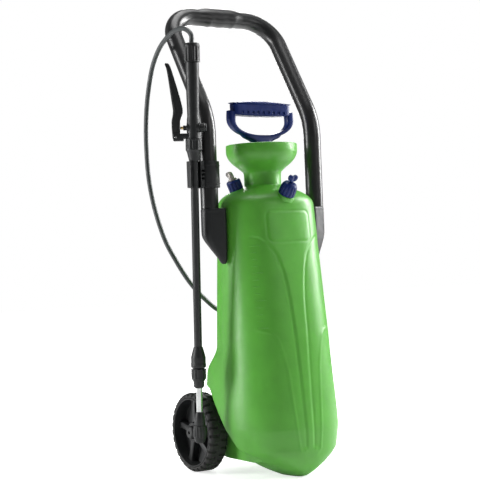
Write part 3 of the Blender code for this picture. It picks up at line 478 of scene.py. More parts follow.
def moulded(name, base, roughness=0.45, grain=0.00004, vary=0.10, dust=0.0, scuff=0.12, **sockets):
    """Moulded plastic: fine spark-eroded grain, slow mottle in colour and gloss, fine scratches, and dust low
    down."""
    made, tree, shader = new_finish(name, base, roughness, **sockets)
    slow = noise(tree, 28.0, 3.0)
    paint = shaded(tree, slow, times(base, 1 - vary), times(base, 1 + vary))
    scratches = noise(tree, 420.0, 2.0, 0.6, (1.0, 1.0, 0.12))
    marks = ranged(tree, scratches, 0.60, 0.72, 0.0, 1.0)
    if dust:
        where = node(tree, "ShaderNodeTexCoord").outputs["Object"]
        height = node(tree, "ShaderNodeSeparateXYZ", [("Vector", where)]).outputs["Z"]
        low = ranged(tree, height, 0.0, 0.16, dust, 0.0)
        patchy = node(
            tree, "ShaderNodeMath", [(0, low), (1, noise(tree, 90.0, 5.0, 0.65))], operation="MULTIPLY"
        )
        mix = node(tree, "ShaderNodeMix", [], data_type="RGBA")
        tree.links.new(patchy.outputs["Value"], mix.inputs["Factor"])
        sockets_in = [s for s in mix.inputs if s.type == "RGBA"]
        tree.links.new(paint, sockets_in[0])
        sockets_in[1].default_value = (0.30, 0.28, 0.25, 1.0)
        paint = [s for s in mix.outputs if s.type == "RGBA"][0]
    tree.links.new(paint, shader.inputs["Base Color"])
    gloss = ranged(tree, noise(tree, 130.0, 4.0), 0.3, 0.7, roughness - 0.05, roughness + 0.06)
    worn = node(tree, "ShaderNodeMath", [(0, marks), (1, scuff)], operation="MULTIPLY").outputs["Value"]
    total = node(tree, "ShaderNodeMath", [(0, gloss), (1, worn)], operation="ADD", use_clamp=True)
    tree.links.new(total.outputs["Value"], shader.inputs["Roughness"])
    bumped(tree, shader, [(noise(tree, 1700.0, 2.0), grain), (noise(tree, 60.0, 2.0), grain * 2.5)])
    return made


def brushed(name, base, roughness=0.25, stretch=(1.0, 1.0, 0.02), **sockets):
    """Metal with fine turning or drawing marks, and faint stains."""
    made, tree, shader = new_finish(name, base, roughness, 1.0, **sockets)
    marks = noise(tree, 2600.0, 2.0, 0.6, stretch)
    stain = noise(tree, 45.0, 4.0)
    tree.links.new(shaded(tree, stain, times(base, 0.86), base), shader.inputs["Base Color"])
    tree.links.new(
        ranged(tree, marks, 0.25, 0.75, roughness - 0.08, roughness + 0.10), shader.inputs["Roughness"]
    )
    bumped(tree, shader, [(marks, 0.000008)])
    return made


FINISHES = {}


def make_finishes():
    """Every finish of the object, by the record's slot names."""
    c = colours()
    FINISHES["tank_green"] = moulded(
        "tank_polyethylene",
        c.tank,
        0.36,
        grain=0.00007,
        vary=0.05,
        dust=0.10,
        Subsurface_Weight=0.12,
        Subsurface_Radius=(0.25, 0.9, 0.1),
        Subsurface_Scale=0.006,
    )
    FINISHES["fitting_blue"] = moulded(
        "fitting_plastic", c.fittings, 0.38, grain=0.00002, vary=0.10, Specular_IOR_Level=0.30
    )
    FINISHES["moulded_black"] = moulded(
        "black_moulding", c.moulded, 0.46, grain=0.00005, vary=0.14, dust=0.05
    )
    FINISHES["frame_black"] = moulded(
        "powder_coat", c.powder, 0.33, grain=0.00002, vary=0.08, Coat_Weight=0.25, Coat_Roughness=0.25
    )
    FINISHES["tyre_black"] = moulded("tyre_rubber", c.tyre, 0.68, grain=0.00012, vary=0.20, dust=0.16)
    FINISHES["seal_rubber"] = moulded("seal_compound", (0.012, 0.012, 0.012), 0.70, grain=0.00003, vary=0.15)
    FINISHES["hose_grey"] = moulded("hose_rubber", c.hose, 0.40, grain=0.00003, vary=0.08)
    FINISHES["natural_plastic"] = moulded("natural_polypropylene", (0.66, 0.66, 0.60), 0.38, vary=0.04)
    FINISHES["bright_steel"] = brushed("bright_steel_bar", (0.66, 0.67, 0.67), 0.22)
    FINISHES["dull_steel"] = brushed("dull_plated_steel", (0.40, 0.38, 0.35), 0.46)
    FINISHES["valve_brass"] = brushed("turned_brass", (0.70, 0.50, 0.22), 0.26, (0.05, 1.0, 1.0))


# --- Tank -------------------------------------------------------------------------------------------------

GROOVE_LINE = ((-0.0740, 0.4400), (-0.0640, 0.4385), (-0.0515, 0.4293), (-0.0410, 0.4180), (-0.0335, 0.4067),
               (-0.0247, 0.3789), (-0.0200, 0.3520), (-0.0170, 0.3238), (-0.0138, 0.2509), (-0.0112, 0.1784),
               (-0.0095, 0.1064), (-0.0085, 0.0560))
RIDGE_LINE = ((-0.0800, 0.2730), (-0.0728, 0.2705), (-0.0582, 0.2644), (-0.0510, 0.2560), (-0.0463, 0.2440),
              (-0.0400, 0.2200), (-0.0359, 0.1983), (-0.0325, 0.1600), (-0.0300, 0.1263), (-0.0250, 0.0700),
              (-0.0225, 0.0520), (-0.0150, 0.0480), (-0.0085, 0.0560))
PANEL_MIDDLE = (0.0010, 0.4595)
PANEL_HALF = (0.0475, 0.0285)
PANEL_CORNER = 0.011


def body_size(z):
    """Half width, front depth and back depth at each height: straight between the middle and the shoulder,
    and eased from the middle to the foot, where the back flares out over the wheels."""
    z = np.asarray(z, float)[:, None]
    up = np.clip((z - MIDDLE_Z) / (SHOULDER_Z - MIDDLE_Z), 0.0, 1.0)
    down = np.clip((MIDDLE_Z - z) / (MIDDLE_Z - FOOT_Z), 0.0, 1.0)
    ease = np.concatenate([smoothstep(down, 0.0, 1.0), down, smoothstep(down, 0.08, 0.40)], axis=1)
    return MIDDLE_SIZE + (SHOULDER_SIZE - MIDDLE_SIZE) * up + (FOOT_SIZE - MIDDLE_SIZE) * ease


def corner_powers(z):
    """Front and back power of the section: the back is squarer where the tank swells over the wheels."""
    front = np.full_like(z, CORNER_POWER)
    return front, CORNER_POWER + 0.7 * smoothstep(MIDDLE_Z - z, 0.0, 0.09)


def reach_at(angle, size, powers):
    """The radius of a superellipse in polar form, one over the p-th root of the sum of |cosine over half
    width| and |sine over depth| to the power p, with its own depth and p in front and behind."""
    back = np.sin(angle) > 0
    depth = np.where(back, size[:, 2:3], size[:, 1:2])
    power = np.where(back, powers[1][:, None], powers[0][:, None])
    across = np.abs(np.cos(angle)) / size[:, :1]
    along = np.abs(np.sin(angle)) / depth
    return (across**power + along**power) ** (-1.0 / power)


def tank_rows():
    """The rows of the outside from the foot to the neck: their heights, their sizes (half width, depth in
    front and behind) and their powers. On the foot the width falls by its inset times a power of the cosine,
    and the depths by theirs times one less the sine, so that the foot is rounded in front and behind."""
    turn = np.linspace(0.0, pi / 2, 17)[:-1]
    step = np.arccos(1 - UNDER_Z / FOOT_ROUND)
    turn = np.sort(np.concatenate([turn, [step - 0.001, step + 0.001]]))
    foot_z = FOOT_ROUND * (1 - np.cos(turn))
    pull = np.stack([np.cos(turn) ** 1.6, 1 - np.sin(turn), 1 - np.sin(turn)], -1)
    foot_size = body_size(foot_z) - FOOT_INSET * pull
    body_z = np.linspace(FOOT_ROUND, SHOULDER_Z, 246)
    body = body_size(body_z)
    neck_share = NECK_R / SHOULDER_SIZE[0]
    share = 1 - (1 - neck_share) * np.linspace(0.0, 1.0, 22)[1:] ** 1.7
    top_z = SHOULDER_Z + SHOULDER_RISE * (1 - share**SHOULDER_CURVE) ** (1 / SHOULDER_CURVE)
    blend = ((1 - share) / (1 - neck_share))[:, None] ** 1.5
    top = SHOULDER_SIZE * share[:, None] * (1 - blend) + NECK_R * blend
    z = np.concatenate([foot_z, body_z, top_z])
    size = np.concatenate([foot_size, body, top])
    size[:, 0] -= FOOT_TAPER * (1 - smoothstep(z, 0.030, 0.095))
    front, back = corner_powers(z)
    round_off = np.concatenate([np.zeros(len(foot_z) + len(body_z)), blend[:, 0]])
    powers = (front + (2.0 - front) * round_off, back + (2.0 - back) * round_off)
    return z, size, powers


def funnel_profile():
    """The neck, then the bowl, whose radius grows by one less the square of what is left of its height, the
    rounded lip, the same bowl inside, the seat of the pump and its bore."""
    rise = np.linspace(0.0, 1.0, 12)
    grow = 1 - (1 - rise) ** 2
    bowl_z = NECK_TOP_Z + (FUNNEL_BOWL_Z - NECK_TOP_Z) * rise
    outside = np.stack([NECK_R + (FUNNEL_R - NECK_R) * grow, bowl_z], -1)
    neck = np.array(
        ((NECK_R, 0.5475), (NECK_R, 0.5540), (NECK_R + 0.0002, 0.5610), (NECK_R + 0.0016, 0.5648))
    )
    half = FUNNEL_WALL / 2 + 0.0004
    turn = np.linspace(0.0, pi, 9)
    lip = np.stack([FUNNEL_R - half + half * np.cos(turn), FUNNEL_TOP_Z - half + half * np.sin(turn)], -1)
    inside = outside[::-1][:-3] + np.array((-FUNNEL_WALL - 0.0006, 0.0022))
    inside = inside[inside[:, 1] > SEAT_Z + 0.003]
    seat = np.array(
        ((0.0455, SEAT_Z + 0.0012), (0.0435, SEAT_Z), (0.0315, SEAT_Z), (NECK_BORE_R, SEAT_Z - 0.0012))
    )
    bore = np.array(((NECK_BORE_R, 0.566), (NECK_BORE_R, 0.5475)))
    return np.concatenate([neck, outside[2:], lip, inside, seat, bore])


def tank_half(z, size, powers):
    """The right half of every row, from the middle of the front to the middle of the back. A row low enough
    to pass a wheel follows the arch between its two meetings with the full section: along the slanted
    face, then the inner wall."""
    front_count, face_count, wall_count, back_count = 88, 11, 10, 11
    table = np.linspace(-pi / 2, pi / 2, 1500)
    low_z = np.minimum(z, 0.165)
    shape = np.where((z > 0.165)[:, None], body_size(low_z), size)
    low_powers = corner_powers(low_z)
    reach = reach_at(table[None], shape, low_powers)
    x, y = reach * np.cos(table), reach * np.sin(table)
    face_y = np.interp(low_z, ARCH_LINE_Z, ARCH_LINE_Y)[:, None]
    wide = np.minimum(x, ARCH_IN_X)
    start = np.maximum(table[(y > face_y).argmax(axis=1)], table[wide.argmax(axis=1)])[:, None]
    behind = np.abs(x - np.minimum(ARCH_IN_X, x.max(axis=1, keepdims=True) - 0.0004)) + 10.0 * (table < 0.0)
    end = np.maximum(table[behind.argmin(axis=1)][:, None], start + 0.03)
    face_y = np.maximum(face_y, np.take_along_axis(y, wide.argmax(axis=1)[:, None], axis=1))
    corner = start + (end - start) * 0.5

    def share(count):
        return np.linspace(0.0, 1.0, count + 1)[None, 1:]

    angle = np.concatenate(
        [
            -pi / 2 + (start + pi / 2) * np.linspace(0.0, 1.0, front_count)[None],
            start + (corner - start) * share(face_count),
            corner + (end - corner) * share(wall_count),
            end + (pi / 2 - end) * share(back_count),
        ],
        axis=1,
    )
    full = reach_at(angle, size, powers)
    full = np.stack([full * np.cos(angle), full * np.sin(angle)], -1)
    first = full[:, front_count - 1]
    second = full[:, front_count + face_count + wall_count - 1]
    inner = np.stack([np.full(len(z), ARCH_IN_X), face_y[:, 0]], -1)
    under = z < UNDER_Z
    flat_y = (UNDER_Y + 0.003 * np.clip(z / UNDER_Z, 0.0, 1.0))[:, None]
    face = first[:, None] + (inner - first)[:, None] * share(face_count)[..., None]
    wall = inner[:, None] + (second - inner)[:, None] * share(wall_count)[..., None]
    cut = full.copy()
    cut[:, front_count : front_count + face_count] = face
    cut[:, front_count + face_count : front_count + face_count + wall_count] = wall
    deep = (1 - smoothstep(z, ARCH_ROOF_Z - 0.007, ARCH_ROOF_Z + 0.006)) * (size[:, 0] > ARCH_IN_X + 0.0005)
    half = full + (cut - full) * deep[:, None, None]
    meets = table[(y > flat_y).argmax(axis=1)][:, None]
    round_part = -pi / 2 + (meets + pi / 2) * np.linspace(0.0, 1.0, front_count)[None]
    reach = reach_at(round_part, size, powers)
    round_part = np.stack([reach * np.cos(round_part), reach * np.sin(round_part)], -1)
    across = np.linspace(1.0, 0.0, face_count + wall_count + back_count + 1)[None, 1:]
    straight = np.stack([round_part[:, -1, :1] * across, flat_y + 0 * across], -1)
    half = np.where(under[:, None, None], np.concatenate([round_part, straight], axis=1), half)
    near = (1 - smoothstep(z, 0.165, 0.185))[:, None, None]
    for _ in range(5):
        softened = half.copy()
        softened[:, 1:-1] = 0.5 * half[:, 1:-1] + 0.25 * (half[:, 2:] + half[:, :-2])
        half = half + (softened - half) * near
    return half


def line_distance(x, z, line):
    """How far each point is from a line of straight stretches: the least distance to any of them."""
    p = np.stack([x, z], -1)[..., None, :]
    a, b = np.asarray(line[:-1]), np.asarray(line[1:])
    along = b - a
    t = np.clip(((p - a) * along).sum(-1) / (along**2).sum(-1), 0.0, 1.0)
    return np.linalg.norm(p - a - t[..., None] * along, axis=-1).min(-1)


def front_relief(x, z):
    """How far the front stands out at each place: it steps back outside the long groove, dips along the
    groove, rises along the second line, and has a shallow channel round the empty label panel."""
    s = sizes()
    side = -np.abs(x)
    groove = line_distance(side, z, GROOVE_LINE)
    ridge = line_distance(side, z, RIDGE_LINE)
    line = np.array(GROOVE_LINE)[::-1]
    edge = np.interp(z, line[:, 1], line[:, 0])
    outside = (
        smoothstep(edge - side, -0.002, 0.004)
        * (1 - smoothstep(z, 0.4330, 0.4400))
        * smoothstep(z, 0.045, 0.065)
    )
    fade = 1 - smoothstep(np.abs(x), 0.070, 0.095)
    q = np.abs(np.stack([x - PANEL_MIDDLE[0], z - PANEL_MIDDLE[1]], -1)) - (
        np.array(PANEL_HALF) - PANEL_CORNER
    )
    panel = np.linalg.norm(np.maximum(q, 0.0), axis=-1) + np.minimum(q.max(-1), 0.0) - PANEL_CORNER
    out = -s.panel_step * outside * fade
    out -= s.groove_depth * np.exp(-((groove / 0.0024) ** 2))
    out += 0.0008 * np.exp(-((ridge / 0.0022) ** 2))
    out -= 0.0008 * np.exp(-((panel / 0.0019) ** 2)) - 0.0004 * (1 - smoothstep(panel, -0.004, 0.0))
    return out


def tank_ring_points():
    z, size, powers = tank_rows()
    half = tank_half(z, size, powers)
    tangent = np.gradient(half, axis=1)
    normal = np.stack([tangent[..., 1], -tangent[..., 0]], -1)
    normal /= np.linalg.norm(normal, axis=-1)[..., None]
    height = np.repeat(z[:, None], half.shape[1], axis=1)
    front = smoothstep(-half[..., 1], 0.0, 0.02)
    seam_way = np.exp(-((half[..., 1] / 0.0012) ** 2)) * smoothstep(height, 0.19, 0.21)
    seam = sizes().seam_height * seam_way * (1 - smoothstep(height, 0.530, 0.540))
    rows = []
    for side in (1, -1):
        out = front_relief(side * half[..., 0], height) * front + seam
        moved = half + normal * out[..., None]
        rows.append(np.stack([side * moved[..., 0], moved[..., 1], height], -1))
    right, left = rows
    outside = np.concatenate([right, left[:, -2:0:-1]], axis=1)
    funnel = funnel_profile()
    circle = tank_half(funnel[:, 1], np.repeat(funnel[:, :1], 3, axis=1), (np.full(len(funnel), 2.0),) * 2)
    flat = np.repeat(funnel[:, 1:2, None], circle.shape[1], axis=1)
    right = np.concatenate([circle, flat], -1)
    left = right * np.array((-1.0, 1.0, 1.0))
    mouth = np.concatenate([right, left[:, -2:0:-1]], axis=1)
    picked = np.concatenate([np.arange(len(z) - 1, 250, -4), np.arange(250, 18, -16), np.arange(18, 0, -3)])
    inside = outside[picked].copy()
    length_xy = np.linalg.norm(inside[..., :2], axis=-1)[..., None]
    inside[..., :2] *= 1 - WALL / length_xy
    inside[..., 2] = np.clip(inside[..., 2], WALL, None) - WALL * (inside[..., 2] > SHOULDER_Z + 0.01)
    return np.concatenate([outside, mouth, inside])


def surface_point(x, z):
    """A place on the plain front of the body: minus depth times the p-th root of one less |x over half width|
    to p."""
    size = body_size(np.ravel(z)).reshape(*np.shape(z), 3)
    share = np.abs(x) / size[..., 0]
    return np.stack([x, -size[..., 1] * (1 - share**CORNER_POWER) ** (1 / CORNER_POWER), z], -1)


def level_tick(x_low, x_high, z):
    """A raised bar on the tank's surface: an ellipse across it and rounded ends."""
    t = np.linspace(0.0, 1.0, 12)[:, None]
    a = 2 * pi * np.arange(12)[None] / 12
    narrow = np.sqrt(np.clip(1 - np.abs(2 * t - 1) ** 6, 0.02, 1.0))
    x = x_low + (x_high - x_low) * t + 0 * a
    height = z + 0.0009 * narrow * np.sin(a)
    points = surface_point(x, height)
    here = surface_point(x, height)
    ahead = surface_point(x + 0.001, height)
    tangent = ahead - here
    out = np.stack([tangent[..., 1], -tangent[..., 0], 0 * x], -1)
    out /= np.linalg.norm(out, axis=-1)[..., None]
    return skin(points + out * (0.0008 * narrow * np.cos(a) - 0.0009)[..., None])


def boss(foot, axis, radius, land):
    """A moulded boss: a disc that sinks into the shoulder, and a threaded spigot on it."""
    profile = [(land, -0.0080), (land, 0.0004), (radius, 0.0006), (radius, 0.0098), (radius - 0.003, 0.0102)]
    return placed(turned(profile, 48, False, 0.0008), turned_to(axis), foot)


class SprayerTank(bpy.types.Operator):
    """Adds the tank: body, wheel arches, shoulder, neck and filling funnel in one skin, with its raised and
    sunk lines"""

    bl_idname = "sprayer.tank"
    bl_label = "Tank"

    def execute(self, context):
        parts = [skin(tank_ring_points())]
        parts.append(boss(RELIEF_FOOT, RELIEF_DIR, 0.0105, 0.0166))
        parts.append(boss(OUTLET_FOOT, OUTLET_DIR, 0.0095, 0.0146))
        for i, z in enumerate(np.arange(0.275, 0.4251, 0.0125)):
            parts.append(level_tick(-0.0790, -0.0690 if i % 4 else -0.0610, z))
        make_piece("tank_shell", parts, FINISHES["tank_green"], "body", ["tank"], 50.0)
        return {"FINISHED"}


# --- Handle frame, brackets and clip ----------------------------------------------------------------------

FRAME_UP = np.array((0.0, sin(LEAN), cos(LEAN)))


def frame_path():
    """The frame's centre line: up a leg, back through an easy bend, up the leaning part, round a corner of
    constant radius and along the top bar, then the same down the other side."""
    leg = np.array([(-LEG_X, 0.0, z) for z in np.linspace(LEG_FOOT_Z, BEND_Z - 0.004, 24)])
    turn = np.linspace(0.0, LEAN, 16)[:, None]
    bend = np.hstack([0 * turn - LEG_X, BEND_R * (1 - np.cos(turn)), BEND_Z + BEND_R * np.sin(turn)])
    rise = (TOP_Z - bend[-1, 2]) / cos(LEAN) - CORNER_R
    straight = bend[-1] + FRAME_UP * rise * np.linspace(0.04, 0.97, 26)[:, None]
    centre = bend[-1] + FRAME_UP * rise + np.array((CORNER_R, 0.0, 0.0))
    turn = np.linspace(0.0, pi / 2, 24)[:, None]
    corner = centre - np.array((CORNER_R, 0.0, 0.0)) * np.cos(turn) + FRAME_UP * CORNER_R * np.sin(turn)
    across = np.linspace(corner[-1, 0] + 0.001, 0.0, 54)
    top = np.stack([across, np.full(54, corner[-1, 1]), np.full(54, corner[-1, 2])], -1)
    top[:, 2] += 0.003 * smoothstep(-np.abs(across), -0.050, -0.024)
    half = np.concatenate([leg, bend, straight, corner, top])
    return np.concatenate([half, half[-2::-1] * np.array((-1.0, 1.0, 1.0))])


def frame_tube():
    """A tube of constant radius. In the middle of the top bar it swells downwards, with shallow finger waves.
    """
    path = frame_path()
    x, z = path[:, 0][:, None], path[:, 2][:, None]

    def grip(share, angle, out):
        on_top = (z > TOP_Z - 0.01) * (1 - smoothstep(np.abs(x), 0.026, 0.052))
        waves = 0.0004 * np.cos(2 * pi * x / 0.030)
        down = np.clip(-(out @ FRAME_UP), 0.0, 1.0) ** 1.5
        return on_top * (sizes().grip_swell + waves) * down + on_top * 0.0006

    return tube(path, TUBE_R, 40, grip)


def hull_ring(first, second, sides):
    """The outline round two circles (x, y, radius): in each direction, the edge of the circle that reaches
    farther."""
    angle = 2 * pi * np.arange(sides) / sides
    normal = np.stack([np.cos(angle), np.sin(angle)], -1)
    circles = np.array((first, second))
    reach = circles[:, :2] @ normal.T + circles[:, 2:3]
    farther = reach.argmax(axis=0)
    return circles[farther, :2] + circles[farther, 2:3] * normal


def bracket(side):
    """The moulded foot of one leg: two joined circles, one round the leg and one beside the tank, carried up
    while the leg's circle grows out of the flank's. A rounded rib follows its outer edge."""
    sleeve = np.array((side * LEG_X, 0.0, TUBE_R + 0.0006))
    flank = np.array((side * 0.1035, -0.0180, 0.0065))
    z = np.concatenate(
        [np.linspace(0.3940, 0.4000, 10), np.linspace(0.4015, 0.4480, 44), np.linspace(0.450, 0.4935, 20),
         0.4935 + 0.0032 * np.sin(np.linspace(0.1, pi / 2, 8))]
    )
    share = np.interp(
        z, (0.3940, 0.3965, 0.4040, 0.4200, 0.4360, 0.4440, 0.4500), (0.92, 0.90, 0.80, 0.48, 0.16, 0.04, 0.0)
    )
    full = np.interp(
        z, (0.3940, 0.3948, 0.3965, 0.4000, 0.4040, 0.4200, 0.4360), (0.35, 0.48, 0.62, 0.74, 0.82, 0.95, 1.0)
    )
    kernel = np.ones(5) / 5
    share = np.convolve(np.pad(share, 2, mode="edge"), kernel, mode="valid")
    top = 0.0016 * (1 - np.cos(np.arcsin(np.clip((z - 0.4935) / 0.0033, 0.0, 1.0))))
    line = 0.0007 * np.exp(-(((z - 0.4895) / 0.0006) ** 2))
    rings = []
    for height, s, f, pull in zip(z, share, full, top + line):
        low = sleeve * (1 - s) + flank * s
        low[2] = low[2] * f - pull
        here = flank.copy()
        here[2] = here[2] * f - pull
        ring = hull_ring(low, here, 96)
        rings.append(np.concatenate([ring, np.full((96, 1), height)], axis=1))
    return skin(np.stack(rings))


def clip_parts():
    """A sleeve round the left leg, and a jaw that opens to the front round the lance. The web between them is
    four short bars with slots between, and the jaw's outer side has upright ridges."""
    low, high = 0.5350, 0.5835
    inner = TUBE_R + 0.0005
    hold = LANCE_R + 0.0014
    wand_x, wand_y = WAND_FOOT[0], WAND_FOOT[1] - WAND_LEAN * 0.566
    sleeve = placed(
        turned([(inner, low), (inner + 0.0035, low), (inner + 0.0035, high), (inner, high)], 56),
        np.eye(3),
        (-LEG_X, 0.0, 0.0),
    )
    turn = np.linspace(pi, 0.0, 14)
    cradle = np.stack([wand_x + hold * np.cos(turn), wand_y + hold * np.sin(turn)], -1)
    outline = np.concatenate(
        [
            [(wand_x - hold - 0.0045, wand_y - 0.0080), (wand_x - hold, wand_y - 0.0080)],
            cradle,
            [(wand_x + hold, wand_y - 0.0080), (wand_x + hold + 0.0022, wand_y - 0.0080)],
            [(wand_x + hold + 0.0024, wand_y + 0.0050), (wand_x + 0.0060, wand_y + hold + 0.0040)],
            [(wand_x - 0.0060, wand_y + hold + 0.0040), (wand_x - hold - 0.0045, wand_y + 0.0050)],
        ]
    )
    parts = [sleeve, slab(outline, low, high, 0.0010, 0.0008)]
    web_low, web_high = (wand_x + hold + 0.0012, wand_y - 0.0078), (-LEG_X - inner - 0.0006, 0.0100)
    for start, end in (
        (low, low + 0.0150), (low + 0.0190, low + 0.0220), (low + 0.0260, low + 0.0290), (low + 0.0330, high)
    ):
        parts.append(box_slab((*web_low, start), (*web_high, end), 0.0008))
    for i in range(5):
        x = wand_x - hold - 0.0043 + 0.0009 * i
        parts.append(
            box_slab((x, wand_y - 0.0086, low + 0.002), (x + 0.0005, wand_y - 0.0070, high - 0.002), 0.0002)
        )
    for z in (low + 0.008, high - 0.008):
        ring = [
            (inner + 0.0030, z - 0.0012), (inner + 0.0042, z - 0.0008), (inner + 0.0042, z + 0.0008),
            (inner + 0.0030, z + 0.0012)
        ]
        parts.append(placed(turned(ring, 56, True, 0.0004), np.eye(3), (-LEG_X, 0.0, 0.0)))
    return parts


class SprayerFrame(bpy.types.Operator):
    """Adds the handle frame, the two moulded brackets that carry its legs, and the clip that holds the lance
    """

    bl_idname = "sprayer.frame"
    bl_label = "Handle Frame"

    def execute(self, context):
        black = FINISHES["moulded_black"]
        make_piece(
            "handle_tube", [frame_tube()], FINISHES["frame_black"], "body", ["frame_tube"]
        )
        for side, word in ((-1, "left"), (1, "right")):
            nodes = [f"{word}_bracket"]
            make_piece(f"{word}_leg_bracket", [bracket(side)], black, "body", nodes)
        make_piece("clip", clip_parts(), black, "body", ["lance_clip"])
        return {"FINISHED"}


# --- Wheels and axle --------------------------------------------------------------------------------------

WHEEL_R = 0.075
WHEEL_OUT_X = 0.121
WHEEL_W = 0.0384
AXLE_Y = 0.0984
AXLE_R = 0.006
SPOKES = 5


def tyre():
    """A square-shouldered ring. Its tread falls by the tread depth in narrow gaps between the lugs, half a
    lug out of step on the two sides, and a shallow groove runs round the middle."""
    s = sizes()
    half = WHEEL_W / 2
    profile = [
        (WHEEL_R - 0.0095, -half),
        (WHEEL_R - 0.0040, -half),
        (WHEEL_R, -half + 0.0045),
        (WHEEL_R, half - 0.0045),
        (WHEEL_R - 0.0040, half),
        (WHEEL_R - 0.0095, half),
    ]
    p = denser(filleted(profile, 0.0022), 0.0017)
    radius, across = p[:, :1], p[:, 1:]
    angle = 2 * pi * np.arange(s.lug_count * 13)[None] / (s.lug_count * 13)
    step = 0.5 - 0.5 * np.cos(s.lug_count * angle + pi * (across > 0) + 40.0 * np.abs(across))
    gap = (1 - smoothstep(step, 0.10, 0.34)) * smoothstep(np.abs(across), 0.0022, 0.0040)
    gap = gap * smoothstep(radius, WHEEL_R - 0.0068, WHEEL_R - 0.0045)
    middle = 0.0014 * np.exp(-((across / 0.0012) ** 2)) * (radius > WHEEL_R - 0.002)
    outer = radius - s.tread_depth * gap - middle
    width = across - np.sign(across) * 0.0012 * gap * (np.abs(across) > half - 0.004)
    rings = np.stack([outer * np.cos(angle), outer * np.sin(angle), width + 0 * angle], -1)
    return skin(rings, True)


def wheel_disc():
    """A rim, a web set deep in it, a hub that stands out, and five broad spokes that slope from the hub to
    the rim."""
    half = WHEEL_W / 2
    rim_r = WHEEL_R - 0.0095 - 0.0003
    web = -half + 0.010
    profile = [
        (0.0064, -half - 0.0010),
        (0.0170, -half - 0.0010),
        (0.0170, web),
        (rim_r - 0.0035, web),
        (rim_r - 0.0035, -half),
        (rim_r, -half),
        (rim_r, half),
        (rim_r - 0.0028, half),
        (rim_r - 0.0040, web + 0.0035),
        (0.0200, web + 0.0035),
        (0.0192, half - 0.0050),
        (0.0180, half - 0.0040),
        (0.0064, half - 0.0040),
    ]
    parts = [turned(profile, 96, True, 0.0012)]
    for i in range(SPOKES):
        angle = 2 * pi * i / SPOKES + 0.16
        along = np.linspace(0.0, 1.0, 14)[:, None]
        turn = 2 * pi * np.arange(32)[None] / 32
        radius = 0.0150 + (rim_r - 0.0022 - 0.0150) * along
        wide = 0.0062 + 0.0026 * (2 * along - 1) ** 4
        top = half - 0.0075 - 0.0050 * along
        deep = (top - web + 0.001) / 2
        c, t = np.cos(turn), np.sin(turn)
        square = (np.abs(c) ** 5 + np.abs(t) ** 5) ** -0.2
        side, height = wide * c * square, web - 0.001 + deep + deep * t * square
        points = np.stack([radius + 0 * side, side, height], -1)
        rows = np.array(((cos(angle), sin(angle), 0.0), (-sin(angle), cos(angle), 0.0), (0.0, 0.0, 1.0)))
        parts.append(placed(skin(points), rows))
    for radius in (0.0130, 0.0165):
        ring = [
            (radius - 0.0006, half - 0.0042), (radius - 0.0005, half - 0.0034),
            (radius + 0.0005, half - 0.0034), (radius + 0.0006, half - 0.0042)
        ]
        parts.append(turned(ring, 72, True, 0.0002))
    return parts


HUB_CAP = [
    (0.0063, WHEEL_W / 2 - 0.0036),
    (0.0125, WHEEL_W / 2 - 0.0036),
    (0.0125, WHEEL_W / 2 + 0.0010),
    (0.0100, WHEEL_W / 2 + 0.0035),
    (0.0030, WHEEL_W / 2 + 0.0040),
    (0.0030, WHEEL_W / 2 + 0.0025),
    (0.0063, WHEEL_W / 2 + 0.0020),
]


class SprayerWheels(bpy.types.Operator):
    """Adds the tyres, the dished wheels with their hubs, and the axle with its caps"""

    bl_idname = "sprayer.wheels"
    bl_label = "Wheels"

    def execute(self, context):
        black = FINISHES["moulded_black"]
        for side, word in ((-1, "left"), (1, "right")):
            rows = np.array(((0.0, 0.0, -side), (0.0, 1.0, 0.0), (side, 0.0, 0.0)))
            middle = (side * (WHEEL_OUT_X - WHEEL_W / 2), AXLE_Y, WHEEL_R)
            body = f"{word}_wheel"
            tread = placed(tyre(), rows, middle)
            make_piece(
                f"{word}_tread", [tread], FINISHES["tyre_black"], body, [f"{word}_tyre"], 40.0
            )
            disc = [placed(part, rows, middle) for part in wheel_disc()]
            make_piece(f"{word}_disc", disc, black, body, [f"{word}_wheel"])
            cap = [placed(turned(HUB_CAP, 64), rows, middle)]
            make_piece(f"{word}_axle_cap", cap, black, "body", [f"{word}_hub_cap"])
        reach = WHEEL_OUT_X + 0.0015
        bar = turned([(0.0, -reach), (AXLE_R, -reach), (AXLE_R, reach), (0.0, reach)], 48, False, 0.0008)
        bar = placed(bar, ((0.0, 0.0, -1.0), (0.0, 1.0, 0.0), (1.0, 0.0, 0.0)), (0.0, AXLE_Y, WHEEL_R))
        make_piece("axle_bar", [bar], FINISHES["bright_steel"], "body", ["axle"])
        return {"FINISHED"}


# --- Pump -------------------------------------------------------------------------------------------------


def ring_section(major, minor, height):
    turn = 2 * pi * np.arange(16) / 16
    return np.stack([major + minor * np.cos(turn), height + minor * np.sin(turn)], -1)


